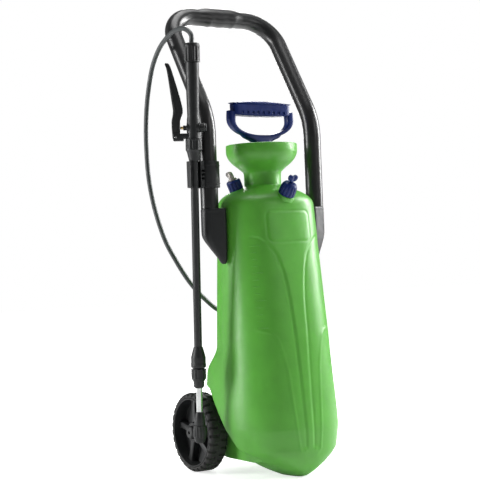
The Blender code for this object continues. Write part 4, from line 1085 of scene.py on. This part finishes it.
PUMP_FOOT_Z = 0.150
PUMP_TURNED = (
    # piece, node, body, slot, profile, closed into a ring
    ("pump_gland", "pump_head", "pump", "moulded_black", True, (
        (ROD_R + 0.0003, 0.5905), (ROD_R + 0.0003, 0.5778), (BARREL_R + 0.0003, 0.5778),
        (BARREL_R + 0.0003, 0.5480),
        (NECK_BORE_R - 0.0004, 0.5480), (NECK_BORE_R - 0.0004, SEAT_Z + 0.0030), (0.0405, SEAT_Z + 0.0030),
        (0.0405, 0.5885), (0.0385, 0.5905))),
    ("pump_cylinder", "pump_barrel", "pump", "natural_plastic", True, (
        (BARREL_R, 0.5775), (BARREL_R, PUMP_FOOT_Z), (0.0060, PUMP_FOOT_Z), (0.0060, PUMP_FOOT_Z + 0.004),
        (0.0203, PUMP_FOOT_Z + 0.004), (0.0203, 0.5775))),
    ("air_valve", "foot_valve", "pump", "seal_rubber", False, (
        (0.0, PUMP_FOOT_Z - 0.0035), (0.0130, PUMP_FOOT_Z - 0.0035), (0.0130, PUMP_FOOT_Z - 0.0003),
        (0.0055, PUMP_FOOT_Z - 0.0003), (0.0055, PUMP_FOOT_Z + 0.0043), (0.0078, PUMP_FOOT_Z + 0.0043),
        (0.0060, PUMP_FOOT_Z + 0.0075), (0.0, PUMP_FOOT_Z + 0.0075))),
    ("pump_piston", "piston", "plunger", "natural_plastic", True, (
        (ROD_R + 0.0003, 0.1700), (0.0198, 0.1700), (0.0198, 0.1780), (0.0165, 0.1780), (0.0165, 0.1825),
        (0.0198, 0.1825), (0.0198, 0.1900), (ROD_R + 0.0003, 0.1900))),
    ("plunger_rod", "pump_rod", "plunger", "natural_plastic", False, (
        (0.0, 0.1640), (ROD_R, 0.1640), (ROD_R, 0.6180), (0.0, 0.6180))),
)


def grip_loop():
    """The D-shaped loop below the bar: half a superellipse outside and another inside, joined by a section
    with rounded corners at every step."""
    turn = np.linspace(-0.17, pi + 0.17, 76)
    c, s = np.cos(turn), np.sin(turn)
    ends = np.clip(-s, 0.0, 1.0)

    def curve(width, drop, low, power):
        x = width * np.sign(c) * np.abs(c) ** (2 / power)
        return np.stack([x, low - drop * np.clip(s, 0.0, 1.0) ** (2 / power) + 0.09 * ends], -1)

    outer, inner = curve(0.0730, 0.0365, 0.6645, 2.1), curve(0.0590, 0.0268, 0.6615, 2.25)
    middle, across = (outer + inner) / 2, (outer - inner) / 2
    angle = 2 * pi * np.arange(28) / 28
    round_off = (np.abs(np.cos(angle)) ** 4 + np.abs(np.sin(angle)) ** 4) ** -0.25
    u, v = np.cos(angle) * round_off, np.sin(angle) * round_off
    flat = middle[:, None] + across[:, None] * u[None, :, None]
    deep = np.broadcast_to(0.0085 * v, flat.shape[:2])
    return skin(np.stack([flat[..., 0], deep, flat[..., 1]], -1))


def grip_bar():
    """A thick bar whose ends slant inwards below, whose lower edge sags a little in the middle, and which has
    a row of small square recesses along the lower edge of its front and back."""
    x = np.concatenate(
        [-0.0640 + 0.002 * (1 - np.cos(np.linspace(0, pi / 2, 7)[:-1])), np.linspace(-0.0620, 0.0620, 250)]
    )
    x = np.unique(np.round(np.concatenate([x, -x]), 7))[:, None]
    end = np.clip((np.abs(x) - 0.0620) / 0.0020, 0.0, 1.0)
    pull = 0.0020 * (1 - np.sqrt(np.clip(1 - end**2, 0.0, 1.0)))
    turn = 2 * pi * np.arange(120)[None] / 120
    c, s = np.cos(turn), np.sin(turn)
    square = (np.abs(c) ** 9 + np.abs(s) ** 9) ** (-1 / 9)
    low = 0.6716 - 0.0022 * (1 - (x / 0.064) ** 2)
    high = 0.6927
    boat = np.clip(1 - (np.abs(x) / 0.0642) ** 12, 0.0, 1.0) ** (1 / 3)
    y = (0.0122 * boat + 0.0002) * c * square
    z = (low + high) / 2 + ((high - low) / 2 - pull) * s * square
    pitch = 0.0118
    near = np.abs((x + pitch / 2) % pitch - pitch / 2)
    cell = (1 - smoothstep(near, 0.0020, 0.0026)) * (np.abs(x) < 4.5 * pitch)
    cell = (
        cell
        * smoothstep(z, 0.6738, 0.6744)
        * (1 - smoothstep(z, 0.6782, 0.6788))
        * (np.abs(c * square) > 0.86)
    )
    y = y - np.sign(y) * 0.0016 * cell
    slant = 1 - 0.012 * (high - z) / (high - 0.6694)
    return skin(np.stack([x * slant, y, z], -1))


def grip_cover():
    """A thin cap over the bar: a rounded rectangle that is widest at its middle height and crowned on top."""
    t = np.linspace(0.0, 1.0, 24)[:, None]
    turn = 2 * pi * np.arange(160)[None] / 160
    c, s = np.cos(turn), np.sin(turn)
    power = 3.2
    square = (np.abs(c) ** power + np.abs(s) ** power) ** (-1 / power)
    share = np.where(
        t < 0.45, 0.86 + 0.14 * smoothstep(t, 0.0, 0.40),
        np.sqrt(np.clip(1 - ((t - 0.45) / 0.55) ** 2, 0.0, 1.0))
    )
    x, y = 0.0690 * share * c * square, 0.0138 * share * s * square
    lift = np.where(t < 0.45, 0.0024 * t / 0.45, 0.0024)
    crown = 0.0050 * (1 - np.minimum((x / 0.0690) ** 2 + (y / 0.0138) ** 2, 1.0)) * (t >= 0.45)
    return skin(np.stack([x, y, 0.6912 + lift + crown + 0.0006 * (t >= 0.45)], -1))


def grip_neck():
    """Round at the gland, then wider and flatter until it is the loop's foot: superellipses of changing
    power."""
    levels = np.array(
        (
            (0.5912, 0.0120, 0.0120, 2.0),
            (0.5935, 0.0150, 0.0150, 2.0),
            (0.6050, 0.0150, 0.0150, 2.0),
            (0.6150, 0.0152, 0.0148, 2.2),
            (0.6200, 0.0176, 0.0132, 2.8),
            (0.6245, 0.0255, 0.0105, 4.0),
            (0.6295, 0.0385, 0.0088, 5.0),
            (0.6340, 0.0440, 0.0084, 5.0),
        )
    )
    z = np.linspace(levels[0, 0], levels[-1, 0], 46)
    wide, deep, power = (np.interp(z, levels[:, 0], levels[:, i])[:, None] for i in (1, 2, 3))
    turn = 2 * pi * np.arange(64)[None] / 64
    c, s = np.cos(turn), np.sin(turn)
    square = (np.abs(c) ** power + np.abs(s) ** power) ** (-1 / power)
    return skin(np.stack([wide * c * square, deep * s * square, z[:, None] + 0 * turn], -1))


class SprayerPump(bpy.types.Operator):
    """Adds the hand pump: handle, rod, piston, barrel, gland and seals"""

    bl_idname = "sprayer.pump"
    bl_label = "Hand Pump"

    def execute(self, context):
        for piece, part, body, slot, joined, profile in PUMP_TURNED:
            make_piece(piece, [turned(profile, 64, joined, 0.0010)], FINISHES[slot], body, [part])
        for piece, part, body, size in (
            ("pump_o_ring", "pump_seal_ring", "pump_seal", (0.0352, 0.0012, SEAT_Z + 0.0015)),
            ("piston_o_ring", "piston_ring", "plunger", (0.0184, 0.0016, 0.18025)),
        ):
            ring = turned(ring_section(*size), 64, True, 0.0)
            make_piece(piece, [ring], FINISHES["seal_rubber"], body, [part])
        blue = FINISHES["fitting_blue"]
        grip = [grip_loop(), grip_bar(), grip_neck()]
        make_piece("pump_grip", grip, blue, "plunger", ["pump_handle"], 40.0)
        make_piece("pump_grip_cap", [grip_cover()], blue, "plunger", ["handle_cover"], 40.0)
        return {"FINISHED"}


# --- Shoulder fittings ------------------------------------------------------------------------------------

RELIEF_BODY = (
    (0.0109, 0.0010), (0.0158, 0.0010), (0.0158, 0.0110), (0.0152, 0.0160), (0.0138, 0.0205),
    (0.0112, 0.0240),
    (0.0075, 0.0252), (0.0036, 0.0255), (0.0036, 0.0222), (0.0092, 0.0222), (0.0092, 0.0110),
    (0.0109, 0.0110))
RELIEF_KNOB = (
    (0.0, 0.0125), (0.0084, 0.0125), (0.0084, 0.0142), (0.0030, 0.0142), (0.0030, 0.0285), (0.0056, 0.0300),
    (0.0070, 0.0330), (0.0072, 0.0375), (0.0058, 0.0405), (0.0, 0.0412))
OUTLET_NUT = (
    (0.0099, 0.0008), (0.0137, 0.0008), (0.0137, 0.0170), (0.0120, 0.0198), (0.0059, 0.0200),
    (0.0059, 0.0165),
    (0.0099, 0.0165))


def spring(radius, low, high, turns, wire):
    """A helix about Z: radius times cosine and sine of the angle, while the height rises in even steps."""
    turn = np.linspace(0.0, 2 * pi * turns, int(turns * 28))
    height = low + (high - low) * turn / turn[-1]
    return tube(np.stack([radius * np.cos(turn), radius * np.sin(turn), height], -1), wire, 10)


def relief_knob():
    """A stem with a head of two lobes: a turned head stretched one way and squeezed the other."""
    points, quads, triangles = turned(RELIEF_KNOB, 64, False, 0.0012)
    head = smoothstep(points[:, 2], 0.0282, 0.0305)
    points[:, 0] *= 1 + 0.55 * head
    waist = 0.32 * head * np.exp(-((points[:, 0] / 0.0035) ** 2))
    points[:, 1] *= 1 - 0.18 * head - waist
    points[:, 2] -= 0.0022 * head * np.exp(-((points[:, 0] / 0.0035) ** 2)) * (points[:, 2] > 0.036)
    return points, quads, triangles


def elbow():
    """A bent pipe: up through the nut, round on a quadratic curve and out towards the hose, with a flange."""
    top = OUTLET_FOOT + unit(OUTLET_DIR) * ELBOW_LIFT
    up, out = unit(OUTLET_DIR), unit(ELBOW_DIR)
    t = np.linspace(0.0, 1.0, 20)[:, None]
    start, end = OUTLET_FOOT + up * 0.0250, top + out * 0.0080
    bend = start * (1 - t) ** 2 + top * 2 * t * (1 - t) + end * t**2
    foot = [OUTLET_FOOT + up * h for h in (0.0160, 0.0200, 0.0230)]
    tail = [top + out * h for h in (0.0110, 0.0150, 0.0190, 0.0230)]
    flange = turned([(0.0, 0.0124), (0.0092, 0.0124), (0.0092, 0.0160), (0.0045, 0.0162)], 48, False, 0.0004)
    collar = turned(
        [(0.0052, 0.0202), (0.0075, 0.0202), (0.0078, 0.0215), (0.0072, 0.0232), (0.0052, 0.0236)], 48, True,
        0.0004
    )
    rows = turned_to(OUTLET_DIR)
    return [
        tube(np.concatenate([foot, bend, tail]), 0.0050, 32), placed(flange, rows, OUTLET_FOOT),
        placed(collar, rows, OUTLET_FOOT)
    ]


class SprayerFittings(bpy.types.Operator):
    """Adds the pressure relief valve and the outlet with its nut, elbow, seal and dip tube"""

    bl_idname = "sprayer.fittings"
    bl_label = "Shoulder Fittings"

    def execute(self, context):
        blue, steel, rubber = FINISHES["fitting_blue"], FINISHES["bright_steel"], FINISHES["seal_rubber"]
        natural = FINISHES["natural_plastic"]
        deep = sizes().rib_depth
        rows = turned_to(RELIEF_DIR)
        dome = turned(RELIEF_BODY, 14 * 12, True, 0.0008, (14, deep, 0.0025, 0.0215, 0.0110))
        make_piece(
            "relief_cap", [placed(dome, rows, RELIEF_FOOT)], blue, "body", ["relief_body"],
            50.0
        )
        knob = placed(relief_knob(), rows, RELIEF_FOOT)
        make_piece("relief_pull_knob", [knob], blue, "relief_pull", ["relief_knob"], 45.0)
        washer = turned([(0.0, 0.0103), (0.0084, 0.0103), (0.0084, 0.0122), (0.0, 0.0122)], 40, False, 0.0004)
        make_piece(
            "relief_washer", [placed(washer, rows, RELIEF_FOOT)], rubber, "body", ["relief_seal"],
        )
        coil = placed(spring(0.0062, 0.0155, 0.0212, 3, 0.0006), rows, RELIEF_FOOT)
        make_piece("relief_coil", [coil], steel, "body", ["relief_spring"])
        rows = turned_to(OUTLET_DIR)
        nut = turned(OUTLET_NUT, 12 * 14, True, 0.0008, (12, deep, 0.0018, 0.0172, 0.0115))
        make_piece(
            "outlet_cap_nut", [placed(nut, rows, OUTLET_FOOT)], blue, "body", ["outlet_nut"],
            50.0
        )
        washer = turned(
            [(0.0062, 0.0103), (0.0092, 0.0103), (0.0092, 0.0120), (0.0062, 0.0120)], 40, True, 0.0004
        )
        make_piece(
            "outlet_washer", [placed(washer, rows, OUTLET_FOOT)], rubber, "body", ["outlet_seal"],
        )
        make_piece("outlet_pipe", elbow(), FINISHES["dull_steel"], "body", ["outlet_elbow"])
        up = unit(OUTLET_DIR)
        knots = np.array(
            (OUTLET_FOOT + up * 0.0118, OUTLET_FOOT - up * 0.0200, (-0.0465, 0.0100, 0.4900),
            (-0.0450, 0.0100, 0.4600),
             (-0.0450, 0.0100, 0.0625))
        )
        make_piece(
            "dip_pipe", [tube(denser(knots, 0.01, False), 0.0040, 24)], natural, "body", ["dip_tube"],
        )
        # It hangs above the raised underside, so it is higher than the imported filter.
        profile = [(0.0, 0.0345), (0.0080, 0.0345), (0.0080, 0.0622), (0.0, 0.0622)]
        strainer = placed(turned(profile, 48, False, 0.0012), np.eye(3), (-0.0450, 0.0100, 0.0))
        make_piece("dip_strainer", [strainer], natural, "body", ["dip_filter"])
        return {"FINISHED"}


# --- Lance ------------------------------------------------------------------------------------------------

STAND = np.array(
    ((1.0, 0.0, 0.0), (0.0, cos(WAND_LEAN), sin(WAND_LEAN)), (0.0, -sin(WAND_LEAN), cos(WAND_LEAN)))
)
LEVER = np.array(
    (
        (cos(LEVER_TURN), sin(LEVER_TURN), 0.0),
        (-sin(LEVER_TURN), cos(LEVER_TURN), 0.0),
        (0.0, 0.0, 1.0),
    )
) @ STAND
ALONG_LEVER = np.array((-LEVER[2], LEVER[1], LEVER[0]))
AGAINST_LEVER = np.array((LEVER[2], LEVER[1], -LEVER[0]))
ACROSS_LEVER = np.array((LEVER[0], LEVER[2], -LEVER[1]))

LANCE_TURNED = (
    # piece, node, body, slot, sides, closed into a ring, ribs (count, depth, low, high, least radius), profile
    ("hose_end_nut", "hose_nut", "wand", "moulded_black", 160, True, (10, 0.0016, 0.7655, 0.7925, 0.0135), (
        (0.0104, 0.7640), (0.0146, 0.7640), (0.0146, 0.7945), (0.0132, 0.7990), (0.0050, 0.7990),
        (0.0050, 0.7900),
        (0.0104, 0.7900))),
    ("hose_tail", "hose_spigot", "wand", "moulded_black", 48, True, None, (
        (0.0018, 0.7713), (0.0098, 0.7713), (0.0098, 0.7745), (0.0042, 0.7745), (0.0046, 0.7780),
        (0.0038, 0.7880),
        (0.0038, 0.7965), (0.0018, 0.7965))),
    ("lance_union_nut", "union_nut", "wand", "moulded_black", 144, True, (12, 0.0010, 0.6050, 0.6225, 0.0140),
    (
        (0.0104, 0.6243), (0.0150, 0.6243), (0.0150, 0.6040), (0.0138, 0.6024), (0.0128, 0.6000),
        (0.0092, 0.5845),
        (LANCE_R + 0.0003, 0.5845), (LANCE_R + 0.0003, 0.6015), (0.0104, 0.6015))),
    ("lance_outer_tube", "lance_tube", "wand", "moulded_black", 40, True, None, (
        (0.0058, 0.6055), (0.0096, 0.6055), (0.0096, 0.6025), (LANCE_R, 0.6025), (LANCE_R, 0.2280),
        (0.0058, 0.2280))),
    ("collet_holder", "collet_body", "wand", "moulded_black", 64, True, None, (
        (LANCE_R + 0.0003, 0.2440), (0.0085, 0.2440), (0.0112, 0.2340), (0.0134, 0.2256), (0.0134, 0.2150),
        (0.0139, 0.2140), (0.0139, 0.2085), (0.0134, 0.2064), (0.0100, 0.2064), (0.0100, 0.1900),
        (0.0085, 0.1900),
        (0.0085, 0.2150), (INNER_R + 0.0003, 0.2150), (INNER_R + 0.0003, 0.2277),
        (LANCE_R + 0.0003, 0.2277))),
    ("collet_cap", "collet_nut", "collet_nut", "moulded_black", 144, True,
    (12, 0.0008, 0.1870, 0.2035, 0.0128), (
        (0.0103, 0.2045), (0.0137, 0.2045), (0.0137, 0.1860), (0.0105, 0.1816), (0.0096, 0.1715),
        (0.0074, 0.1690),
        (INNER_R + 0.0003, 0.1690), (INNER_R + 0.0003, 0.1860), (0.0103, 0.1860))),
    ("lance_inner_tube", "inner_tube", "inner_lance", "bright_steel", 40, True, None, (
        (0.0045, 0.5700), (INNER_R, 0.5700), (INNER_R, 0.1150), (0.0045, 0.1150))),
    ("nozzle_holder", "nozzle_body", "inner_lance", "moulded_black", 64, True, None, (
        (INNER_R + 0.0003, 0.1250), (0.0070, 0.1250), (0.0092, 0.1150), (0.0104, 0.1010), (0.0070, 0.1010),
        (0.0070, 0.0840), (0.0020, 0.0840), (0.0020, 0.1140), (INNER_R + 0.0003, 0.1140))),
    ("spray_nozzle", "nozzle_cap", "nozzle", "moulded_black", 144, True, (12, 0.0010, 0.0790, 0.0990, 0.0108),
    (
        (0.0073, 0.1007), (0.0112, 0.1007), (0.0124, 0.0900), (0.0122, 0.0800), (0.0085, 0.0700),
        (0.0060, 0.0680),
        (0.0012, 0.0680), (0.0012, 0.0760), (0.0073, 0.0800))),
)
VALVE_CAP = ((0.0, 0.0080), (0.0058, 0.0080), (0.0058, 0.0125), (0.0085, 0.0125), (0.0085, 0.0205),
(0.0074, 0.0212),
             (0.0070, 0.0240), (0.0, 0.0245))
VALVE_PIN = ((0.0, 0.0020), (0.0056, 0.0020), (0.0056, 0.0060), (0.0028, 0.0060), (0.0028, 0.0228),
(0.0018, 0.0240),
             (0.0, 0.0240))
WAND_GRIP = ((0.0, 0.7710), (0.0100, 0.7710), (0.0100, 0.7637), (0.0125, 0.7637), (0.0125, 0.7500),
(0.0119, 0.7150),
             (0.0109, 0.6660), (0.0118, 0.6600), (0.0118, 0.6300), (0.0130, 0.6246), (0.0100, 0.6246),
             (0.0100, 0.6060), (0.0, 0.6060))
TRIGGER_OUTLINE = (
    (0.0396, 0.6580), (0.0372, 0.6680), (0.0364, 0.6760), (0.0400, 0.7030), (0.0440, 0.7340),
    (0.0468, 0.7540),
    (0.0492, 0.7585), (0.0500, 0.7620), (0.0478, 0.7638), (0.0425, 0.7625), (0.0392, 0.7560),
    (0.0350, 0.7420),
    (0.0285, 0.7190), (0.0228, 0.6980), (0.0187, 0.6800), (0.0190, 0.6710), (0.0238, 0.6600),
    (0.0243, 0.6540),
    (0.0243, 0.6360))


def on_wand(part):
    return placed(part, STAND, WAND_FOOT)


def lever_point(x, z):
    return WAND_FOOT + LEVER[0] * x + LEVER[2] * z


def wand_parts():
    """The grip, the square block beside it, the fork for the lever's pin, and the guide of the valve's pin.
    """
    s = placed(turned(WAND_GRIP, 64, False, 0.0008), STAND, WAND_FOOT)
    block = placed(box_slab((0.0050, -0.0092, 0.6250), (0.0200, 0.0092, 0.6345), 0.0009), LEVER, WAND_FOOT)
    parts = [s, block]
    for low, high in ((-0.0092, -0.0058), (0.0058, 0.0092)):
        cheek = box_slab((0.0185, low, 0.6212), (0.0370, high, 0.6345), 0.0012)
        parts.append(placed(cheek, LEVER, WAND_FOOT))
    guide = turned([(0.0032, 0.0050), (0.0046, 0.0050), (0.0046, 0.0185), (0.0032, 0.0185)], 40, True, 0.0004)
    parts.append(placed(guide, ALONG_LEVER, lever_point(0.0, VALVE_Z)))
    boss = turned([(0.0, -0.0120), (0.0105, -0.0120), (0.0105, 0.0120), (0.0, 0.0120)], 48, False, 0.0014)
    parts.append(placed(boss, ALONG_LEVER, lever_point(0.0, VALVE_Z)))
    return parts


def trigger_parts():
    """A flat lever that is round at its pin, bends out above it, tapers to its tip and ends in a small hook.
    """
    turn = np.linspace(pi, 2 * pi, 14)
    hub = np.stack([PIVOT_R + 0.0066 * np.cos(turn), PIVOT_Z + 0.0066 * np.sin(turn)], -1)
    outline = np.concatenate([hub, [(0.0395, 0.6440)], TRIGGER_OUTLINE])
    parts = [placed(slab(outline, -0.0050, 0.0050, 0.0014, 0.0030), ACROSS_LEVER, WAND_FOOT)]
    rib = ((0.0300, 0.6700), (0.0330, 0.6700), (0.0455, 0.7540), (0.0435, 0.7540))
    parts.append(placed(slab(rib, -0.0056, 0.0056, 0.0006, 0.0010), ACROSS_LEVER, WAND_FOOT))
    return parts


class SprayerLance(bpy.types.Operator):
    """Adds the lance: grip, trigger, valve, nuts, the two tubes with their collet, and the nozzle"""

    bl_idname = "sprayer.lance"
    bl_label = "Lance"

    def execute(self, context):
        black, steel = FINISHES["moulded_black"], FINISHES["bright_steel"]
        for piece, part, body, slot, sides, joined, ribs, profile in LANCE_TURNED:
            shape = on_wand(turned(profile, sides, joined, 0.0008, ribs))
            make_piece(piece, [shape], FINISHES[slot], body, [part], 50.0 if ribs else 32.0)
        ring = on_wand(turned(ring_section(0.0070, 0.0011, 0.2110), 48, True, 0.0))
        make_piece("collet_o_ring", [ring], FINISHES["seal_rubber"], "wand", ["collet_ring"])
        make_piece("lance_grip", wand_parts(), black, "wand", ["wand_body"])
        make_piece("trigger_lever", trigger_parts(), black, "trigger", ["trigger"], 40.0)
        foot = lever_point(0.0, VALVE_Z)
        knob = turned(VALVE_CAP, 120, False, 0.0006, (15, 0.0006, 0.0130, 0.0202, 0.0080))
        make_piece(
            "valve_knob", [placed(knob, AGAINST_LEVER, foot)], black, "wand", ["valve_cap"],
            50.0
        )
        stem = placed(turned(VALVE_PIN, 40, False, 0.0005), ALONG_LEVER, foot)
        make_piece("valve_stem", [stem], FINISHES["valve_brass"], "valve", ["valve_pin"])
        coil = placed(spring(0.0042, -0.0070, 0.0010, 3, 0.0005), ALONG_LEVER, foot)
        make_piece("valve_coil", [coil], steel, "wand", ["valve_spring"])
        pin = turned([(0.0, -0.0095), (0.0020, -0.0095), (0.0020, 0.0095), (0.0, 0.0095)], 32, False, 0.0005)
        across = np.array((LEVER[0], LEVER[2], -LEVER[1]))
        pin = placed(pin, across, lever_point(PIVOT_R, PIVOT_Z))
        make_piece("trigger_pivot_pin", [pin], steel, "wand", ["trigger_pin"])
        return {"FINISHED"}


# --- Hose -------------------------------------------------------------------------------------------------


def smooth_route(route, first, last):
    """Points at even steps on a Catmull-Rom curve through the route."""
    p = np.concatenate([[first], route, [last]])
    t = np.linspace(0.0, 1.0, 24, endpoint=False)[None, :, None]
    a, b, c, d = (p[i : len(p) - 3 + i, None] for i in range(4))
    fine = 0.5 * (2 * b + (c - a) * t + (2 * a - 5 * b + 4 * c - d) * t**2 + (3 * b - a - 3 * c + d) * t**3)
    fine = np.concatenate([fine.reshape(-1, 3), p[-2:-1]])
    return denser_evenly(fine, 0.0045)


def denser_evenly(path, step):
    walked = np.concatenate([[0.0], np.cumsum(np.linalg.norm(np.diff(path, axis=0), axis=1))])
    at = np.linspace(0.0, walked[-1], int(walked[-1] / step) + 1)
    return np.stack([np.interp(at, walked, path[:, axis]) for axis in range(3)], -1)


class SprayerHose(bpy.types.Operator):
    """Adds the hose from the lance's nut, over and down behind the tank, and up to the outlet"""

    bl_idname = "sprayer.hose"
    bl_label = "Hose"

    def execute(self, context):
        up, out = STAND[2], unit(ELBOW_DIR)
        start = WAND_FOOT + up * 0.7993
        end = OUTLET_FOOT + unit(OUTLET_DIR) * ELBOW_LIFT + out * 0.0233
        route = np.array((start, start + up * 0.006, *HOSE_ROUTE, end + out * 0.010, end))
        path = smooth_route(route, start - up * 0.006, end - out * 0.01)
        radius = sizes().hose_radius
        run = make_piece(
            "hose_run", [tube(path, radius, 24)], FINISHES["hose_grey"], None, ["hose"]
        )
        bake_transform(run)
        return {"FINISHED"}


# --- Studio -----------------------------------------------------------------------------------------------

CAMERA_TURN = radians(-34.135)
CAMERA_DISTANCE = 2.4853
CAMERA_HEIGHT = 0.4112
CAMERA_YAW = radians(1.0860)
CAMERA_PITCH = radians(-0.6089)
CAMERA_ROLL = radians(2.2107)
CAMERA_LENS = 1311.56 / 480 * 36.0
AMBIENT = 0.16


def add_camera():
    place = np.array((sin(CAMERA_TURN) * CAMERA_DISTANCE, -cos(CAMERA_TURN) * CAMERA_DISTANCE, CAMERA_HEIGHT))
    facing = CAMERA_TURN + CAMERA_YAW
    ahead = np.array((-sin(facing) * cos(CAMERA_PITCH), cos(facing) * cos(CAMERA_PITCH), -sin(CAMERA_PITCH)))
    level = np.array((cos(facing), sin(facing), 0.0))
    over = np.cross(level, ahead)
    right = cos(CAMERA_ROLL) * level - sin(CAMERA_ROLL) * over
    top = sin(CAMERA_ROLL) * level + cos(CAMERA_ROLL) * over
    data = bpy.data.cameras.new("camera")
    data.lens = CAMERA_LENS
    data.sensor_width = 36.0
    data.clip_end = 50.0
    camera = bpy.data.objects.new("camera", data)
    grid = np.eye(4)
    grid[:3, :3] = np.stack([right, top, -ahead], -1)
    grid[:3, 3] = place
    camera.matrix_world = Matrix(grid.tolist())
    bpy.context.scene.collection.objects.link(camera)
    bpy.context.scene.camera = camera


def add_light(name, place, target, size, watts):
    data = bpy.data.lights.new(name, "AREA")
    data.shape = "RECTANGLE"
    data.size, data.size_y = size
    data.energy = watts
    lamp = bpy.data.objects.new(name, data)
    back = unit(np.subtract(place, target))
    side = unit(np.cross((0.0, 0.0, 1.0), back))
    grid = np.eye(4)
    grid[:3, :3] = np.stack([side, np.cross(back, side), back], -1)
    grid[:3, 3] = place
    lamp.matrix_world = Matrix(grid.tolist())
    bpy.context.scene.collection.objects.link(lamp)


class SprayerStudio(bpy.types.Operator):
    """Adds the camera, soft lights, and a pale floor with a plain background"""

    bl_idname = "sprayer.studio"
    bl_label = "Studio"

    def execute(self, context):
        add_camera()
        scene = context.scene
        scene.view_settings.view_transform = "Standard"
        world = bpy.data.worlds.new("studio")
        world.use_nodes = True
        scene.world = world
        tree = world.node_tree
        seen = node(tree, "ShaderNodeLightPath").outputs["Is Camera Ray"]
        backdrop = tree.nodes["Background"]
        backdrop.inputs["Color"].default_value = (1.0, 1.0, 1.0, 1.0)
        tree.links.new(ranged(tree, seen, 0.0, 1.0, AMBIENT, 1.0), backdrop.inputs["Strength"])
        paint, tree, shader = new_finish("studio_floor", colours().floor, 0.9)
        bumped(tree, shader, [(noise(tree, 35.0, 3.0), 0.0001)])
        seen = node(tree, "ShaderNodeLightPath").outputs["Is Camera Ray"]
        shader.inputs["Emission Color"].default_value = (1.0, 1.0, 1.0, 1.0)
        where = node(tree, "ShaderNodeTexCoord").outputs["Object"]
        far = node(tree, "ShaderNodeVectorMath", [(0, where)], operation="LENGTH").outputs["Value"]
        glow = ranged(tree, far, 0.3, 2.2, 0.66, 1.0)
        glow = node(tree, "ShaderNodeMath", [(0, glow), (1, seen)], operation="MULTIPLY").outputs["Value"]
        tree.links.new(glow, shader.inputs["Emission Strength"])
        size = 8.0
        flat = np.array(
            [(-size, -size, -0.0005), (size, -size, -0.0005), (size, size, -0.0005), (-size, size, -0.0005)]
        )
        mesh = bpy.data.meshes.new("floor")
        mesh.from_pydata(flat.tolist(), [], [(0, 1, 2, 3)])
        mesh.materials.append(paint)
        floor = bpy.data.objects.new("floor", mesh)
        scene.collection.objects.link(floor)
        add_light("key", (2.2, -0.4, 1.3), (0.0, 0.0, 0.38), (0.7, 1.6), 84.0)
        add_light("front", (0.8, -2.4, 1.5), (0.0, 0.0, 0.40), (0.8, 1.2), 6.0)
        add_light("top", (0.2, 0.1, 2.4), (0.0, 0.0, 0.40), (1.2, 1.2), 20.0)
        add_light("rim", (1.1, 1.7, 1.2), (0.0, 0.0, 0.45), (0.5, 1.5), 26.0)
        add_light("edge", (-2.0, 1.0, 0.9), (0.0, 0.0, 0.40), (0.5, 1.7), 42.0)
        return {"FINISHED"}


# --- Panel and main ---------------------------------------------------------------------------------------

STEPS = (
    SprayerStudio,
    SprayerHose,
    SprayerTank,
    SprayerFrame,
    SprayerWheels,
    SprayerPump,
    SprayerFittings,
    SprayerLance,
)


class SprayerPanel(bpy.types.Panel):
    """The sprayer's steps and settings"""

    bl_label = "Pressure Sprayer"
    bl_idname = "VIEW3D_PT_sprayer"
    bl_space_type = "VIEW_3D"
    bl_region_type = "UI"
    bl_category = "Sprayer"

    def draw(self, context):
        for step in STEPS:
            self.layout.operator(step.bl_idname)
        for group in (context.scene.sprayer_sizes, context.scene.sprayer_colours):
            for key in group.__annotations__:
                self.layout.prop(group, key)


CLASSES = (SprayerSizes, SprayerColours, *STEPS, SprayerPanel)


def register():
    for made in CLASSES:
        bpy.utils.register_class(made)
    bpy.types.Scene.sprayer_sizes = PointerProperty(type=SprayerSizes)
    bpy.types.Scene.sprayer_colours = PointerProperty(type=SprayerColours)


def unregister():
    del bpy.types.Scene.sprayer_colours
    del bpy.types.Scene.sprayer_sizes
    for made in reversed(CLASSES):
        bpy.utils.unregister_class(made)


def finish_plain_nodes():
    """Gives each CAD node that still shows the finish of its material slot."""
    slots = {row["node"]: row["material_slot"] for row in frame["record"]["subparts"]}
    for name, shown in frame["nodes"].items():
        if not shown.hide_render:
            shown.data.materials.clear()
            shown.data.materials.append(FINISHES[slots[name]])


def main():
    register()
    make_finishes()
    for step in STEPS:
        group, name = step.bl_idname.split(".")
        getattr(getattr(bpy.ops, group), name)()
    finish_plain_nodes()


if __name__ == "__main__":
    main()
